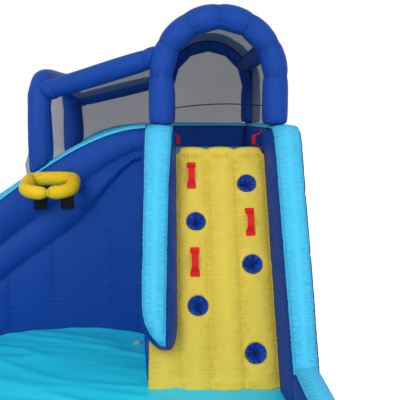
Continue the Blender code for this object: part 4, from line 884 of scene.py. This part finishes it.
# %% Sheets that lie on the ground
GROUND_CELL = 0.06
FLOOR_CELL = 0.022
EDGE_MARGIN = 0.001
LOOK_DOWN_FROM = 0.1
WALL_WIDTH = 0.16
WALL_EASE = 0.05
FLOOR_SLANT = (0.96, 0.28)  # the way in which the long folds run, from the slide's foot
LONG_FOLD = (0.8, 4.2)  # changes per metre, along the folds and across them
FINE_FOLD = (1.6, 11.0)
BROAD_WAVES = 1.1
FOLD_SHARPNESS = 3.0
FLOOR_BASE, LONG_HEIGHT, FINE_HEIGHT, BROAD_HEIGHT = 0.004, 0.014, 0.004, 0.006
DRAIN_FLAT = 0.075
DRAIN_EASE = 0.14
DRAIN_LOW, DRAIN_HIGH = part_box("drain_flange")
DRAIN_MIDDLE = (Vector(DRAIN_LOW) + Vector(DRAIN_HIGH)) / 2


def nearest_on_outline(places, node):
    """For flat places, the nearest place on the outline of a flat CAD node, and how far it is."""
    mesh = frame["nodes"][node].data
    used = {}
    for face in mesh.polygons:
        if face.normal.z > 0.9:
            corners = [tuple(round(c, 5) for c in mesh.vertices[i].co[:2]) for i in face.vertices]
            for pair in zip(corners, corners[1:] + corners[:1]):
                key = tuple(sorted(pair))
                used[key] = used.get(key, 0) + 1
    rim = np.array([key for key, times in used.items() if times == 1])
    first = rim[:, 0]
    along = rim[:, 1] - first
    share = ((places[:, None] - first) * along).sum(axis=2) / (along ** 2).sum(axis=1)
    spots = first + np.clip(share, 0, 1)[:, :, None] * along
    gaps = np.linalg.norm(spots - places[:, None], axis=2)
    best = gaps.argmin(axis=1)
    rows = np.arange(len(places))
    return spots[rows, best], gaps[rows, best]


def laid_sheet(name, node, material, cell, lift):
    """A sheet over the area of a flat CAD node, raised by lift(x, y) where no wall stands on it."""
    low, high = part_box(node)
    width, depth = high[0] - low[0], high[1] - low[1]
    solid = frame["nodes"][node].data
    tree = BVHTree.FromPolygons(
        [v.co for v in solid.vertices], [p.vertices for p in solid.polygons],
    )
    columns = int(width / cell)
    rows = int(depth / cell)
    bpy.ops.object.select_all(action="DESELECT")
    bpy.ops.mesh.primitive_grid_add(x_subdivisions=columns, y_subdivisions=rows, size=1)
    obj = bpy.context.object
    obj.name = name
    bm = bmesh.new()
    bm.from_mesh(obj.data)
    for vert in bm.verts:
        vert.co.x = low[0] + EDGE_MARGIN + (vert.co.x + 0.5) * (width - 2 * EDGE_MARGIN)
        vert.co.y = low[1] + EDGE_MARGIN + (vert.co.y + 0.5) * (depth - 2 * EDGE_MARGIN)
        vert.co.z = high[2]
    above = Vector((0, 0, LOOK_DOWN_FROM))
    outside = [
        face for face in bm.faces
        if tree.ray_cast(face.calc_center_median() + above, -above)[0] is None
    ]
    bmesh.ops.delete(bm, geom=outside, context="FACES")
    spots, gaps = nearest_on_outline(np.array([vert.co[:2] for vert in bm.verts]), node)
    for vert, spot, gap in zip(bm.verts, spots, gaps):
        if vert.is_boundary:
            vert.co.x, vert.co.y = spot
        elif gap > WALL_WIDTH:
            vert.co.z += lift(vert.co.x, vert.co.y) * min((gap - WALL_WIDTH) / WALL_EASE, 1.0)
    bm.to_mesh(obj.data)
    bm.free()
    obj.location = (0, 0, 0)
    obj.data.materials.append(material)
    obj.data.shade_smooth()
    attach(obj, "park")
    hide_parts(node)


def fold(along, across, waves, layer):
    """Where a fold of this kind rises, from 0 to 1."""
    aside = abs(noise((along * waves[0], across * waves[1], layer)))
    return max(1 - aside * FOLD_SHARPNESS, 0.0) ** 2


def floor_wrinkles(x, y):
    """Long low folds from the slide's foot to the pool's front corner, finer ones across them,
    and broad waves. The cloth lies flat where the drain's flange clamps it."""
    along = x * FLOOR_SLANT[0] - y * FLOOR_SLANT[1]
    across = x * FLOOR_SLANT[1] + y * FLOOR_SLANT[0]
    height = FLOOR_BASE + LONG_HEIGHT * fold(along, across, LONG_FOLD, 0.0)
    height += FINE_HEIGHT * fold(along, across, FINE_FOLD, 7.0)
    height += BROAD_HEIGHT * noise((x * BROAD_WAVES, y * BROAD_WAVES, 4.0))
    from_drain = math.hypot(x - DRAIN_MIDDLE.x, y - DRAIN_MIDDLE.y)
    share = clamped((from_drain - DRAIN_FLAT) / DRAIN_EASE)
    return height * share * share * (3 - 2 * share)


laid_sheet("ground_cloth", "ground_sheet", BLUE_CLOTH, GROUND_CELL, lambda x, y: 0.0)
laid_sheet("pool_floor_cloth", "pool_floor", POOL_CLOTH, FLOOR_CELL, floor_wrinkles)

# %% [markdown]
# ## Foot pockets
# Each pocket is a round of cloth let into the yellow wall and drawn to a pinch at the back, so it
# falls away from its rim in uneven folds. It is turned as rings with the folds cut into them. Its
# colour has painted shade, darkest at the middle of the dish and in the valleys of its folds.

# %% Pockets
LANE_NORMAL = Vector((0.0, -0.85960, 0.51097))
LANE_DOWN = Vector((0.0, -0.51097, -0.85960))
LANE_ACROSS = Vector((1, 0, 0))
POCKET_RADIUS = 0.0655
POCKET_SINK = 0.002
POCKET_TURNS = 96
POCKET_ROWS = (  # share of the radius, height over the rim, and share of the folds
    (1.0, -0.010, 0.0), (1.0, -0.001, 0.0), (0.985, 0.0025, 0.0), (0.95, 0.003, 0.0),
    (0.92, 0.0, 0.0), (0.88, -0.006, 0.1), (0.80, -0.015, 0.35), (0.68, -0.025, 0.7),
    (0.54, -0.034, 1.0), (0.40, -0.042, 1.0), (0.27, -0.049, 0.9), (0.16, -0.054, 0.6),
    (0.07, -0.057, 0.3), (0.015, -0.058, 0.0),
)
POCKET_FOLD = 0.016
POCKET_FOLDS = 9
FOLD_CIRCLE = 2.3  # a larger circle through the noise gives more and smaller uneven folds
FOLD_NOISE, FOLD_SINE = 1.3, 0.6
FOLD_NEAR_MIDDLE = 0.35
POCKET_SHADE_FAR = 0.012
POCKET_SEAM_RUN = 0.06


def pocket(name, node, seed):
    """A dished pocket in place of a CAD one. seed sets its folds."""
    places = [v.co for v in frame["nodes"][node].data.vertices]
    middle = sum(places, Vector()) / len(places)
    rim = max(place.dot(LANE_NORMAL) for place in places) - POCKET_SINK
    middle += LANE_NORMAL * (rim - middle.dot(LANE_NORMAL))
    bm = bmesh.new()
    rings = []
    far, run = [], []
    for share, height, folded in POCKET_ROWS:
        ring = []
        reach = POCKET_RADIUS * share
        for i in range(POCKET_TURNS):
            turn = math.tau * i / POCKET_TURNS
            x, y = math.cos(turn) * FOLD_CIRCLE, math.sin(turn) * FOLD_CIRCLE
            shift = 2 * noise((x * 0.5, y * 0.5, seed))
            wave = noise((x, y, seed * 5.0)) * FOLD_NOISE
            wave += FOLD_SINE * math.sin(turn * POCKET_FOLDS + seed + shift)
            out = height + POCKET_FOLD * folded * wave * min(share + FOLD_NEAR_MIDDLE, 1.0)
            place = middle + LANE_ACROSS * reach * math.sin(turn)
            place += LANE_DOWN * reach * -math.cos(turn)
            ring.append(bm.verts.new(place + LANE_NORMAL * out))
            # far runs from the middle to the rim, so the painted shade is darkest at the middle
            far.append(share * POCKET_SHADE_FAR)
            run.append(turn * POCKET_SEAM_RUN)
        rings.append(ring)
    for first, second in zip(rings, rings[1:]):
        for i in range(POCKET_TURNS):
            j = (i + 1) % POCKET_TURNS
            bm.faces.new((first[i], second[i], second[j], first[j]))
    bm.faces.new(rings[-1])
    bmesh.ops.recalc_face_normals(bm, faces=bm.faces)
    if sum(face.normal.dot(LANE_NORMAL) * face.calc_area() for face in bm.faces) < 0:
        bmesh.ops.reverse_faces(bm, faces=bm.faces)
    made = bpy.data.meshes.new(name)
    bm.to_mesh(made)
    bm.free()
    obj = bpy.data.objects.new(name, made)
    bpy.context.scene.collection.objects.link(obj)
    for key, values in (("seam_far", far), ("seam_run", run), ("seam_pull", [1.0] * len(far))):
        made.attributes.new(key, "FLOAT", "POINT").data.foreach_set("value", values)
    made.materials.append(POCKET_CLOTH)
    made.shade_smooth()
    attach(obj, "park")
    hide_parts(node)
    print(name, "area", round(sum(face.area for face in made.polygons), 4))


for number in range(1, 6):
    pocket(f"foot_pocket_cloth_{number}", f"foot_pocket_{number}", number)

# %% [markdown]
# ## Webbing, tapes and sleeve
# Belts are stiff and flat. Each is its CAD strap, with its long edges kept sharp and the bends
# between them turned round. The blower's sleeve is cloth, and is rounded in the same way.

# %% Straps, tapes and sleeve
BELT_CORNER = math.radians(60)
BELT_SHARP = math.radians(35)


def strap(name, node, material, levels=1):
    """A belt or sleeve from its CAD solid, subdivided between its creased edges."""
    obj = solid_copy(name, node)
    crease_seams(obj, BELT_CORNER)
    round_out(obj, levels)
    mesh = obj.data
    mesh.materials.append(material)
    mesh.shade_smooth()
    mesh.set_sharp_from_angle(angle=BELT_SHARP)
    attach(obj, frame["nodes"][node]["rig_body"])
    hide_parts(node)
    print(name, "points", len(mesh.vertices))
    return obj


for number in range(1, 4):
    strap(f"climbing_handle_webbing_{number}", f"climbing_handle_{number}", RED_WEBBING, 2)
for side in ("left", "right"):
    strap(f"entry_handle_webbing_{side}", f"entry_handle_{side}", RED_WEBBING, 2)
    strap(f"hoop_strap_webbing_{side}", f"hoop_strap_{side}", BLACK_WEBBING)
for loop in ("anchor_front_left", "anchor_front_right", "anchor_rear_left", "anchor_rear_right"):
    strap(loop + "_webbing", loop, BLACK_WEBBING)
for tape in ("side_net_binding", "roof_net_binding", "deflation_zip_tape"):
    strap(tape + "_tape", tape, BLACK_WEBBING)
sleeve = strap("blower_sleeve_cloth", "blower_sleeve", BLUE_CLOTH, 2)

# %% [markdown]
# ## Small moulded pieces and the cord
# The zip's slider, the drain's flange and its plug keep their CAD shapes and get their finish. The
# tie cord gets its black.

# %% Moulded pieces and the cord
for node, material in (
    ("zip_slider", GREY_PLASTIC), ("drain_flange", FLANGE_PLASTIC), ("drain_plug", GREY_PLASTIC),
):
    mesh = frame["nodes"][node].data
    mesh.materials.clear()
    mesh.materials.append(material)
    print(node, material.name)
tie_cord.data.materials.append(BLACK_WEBBING)
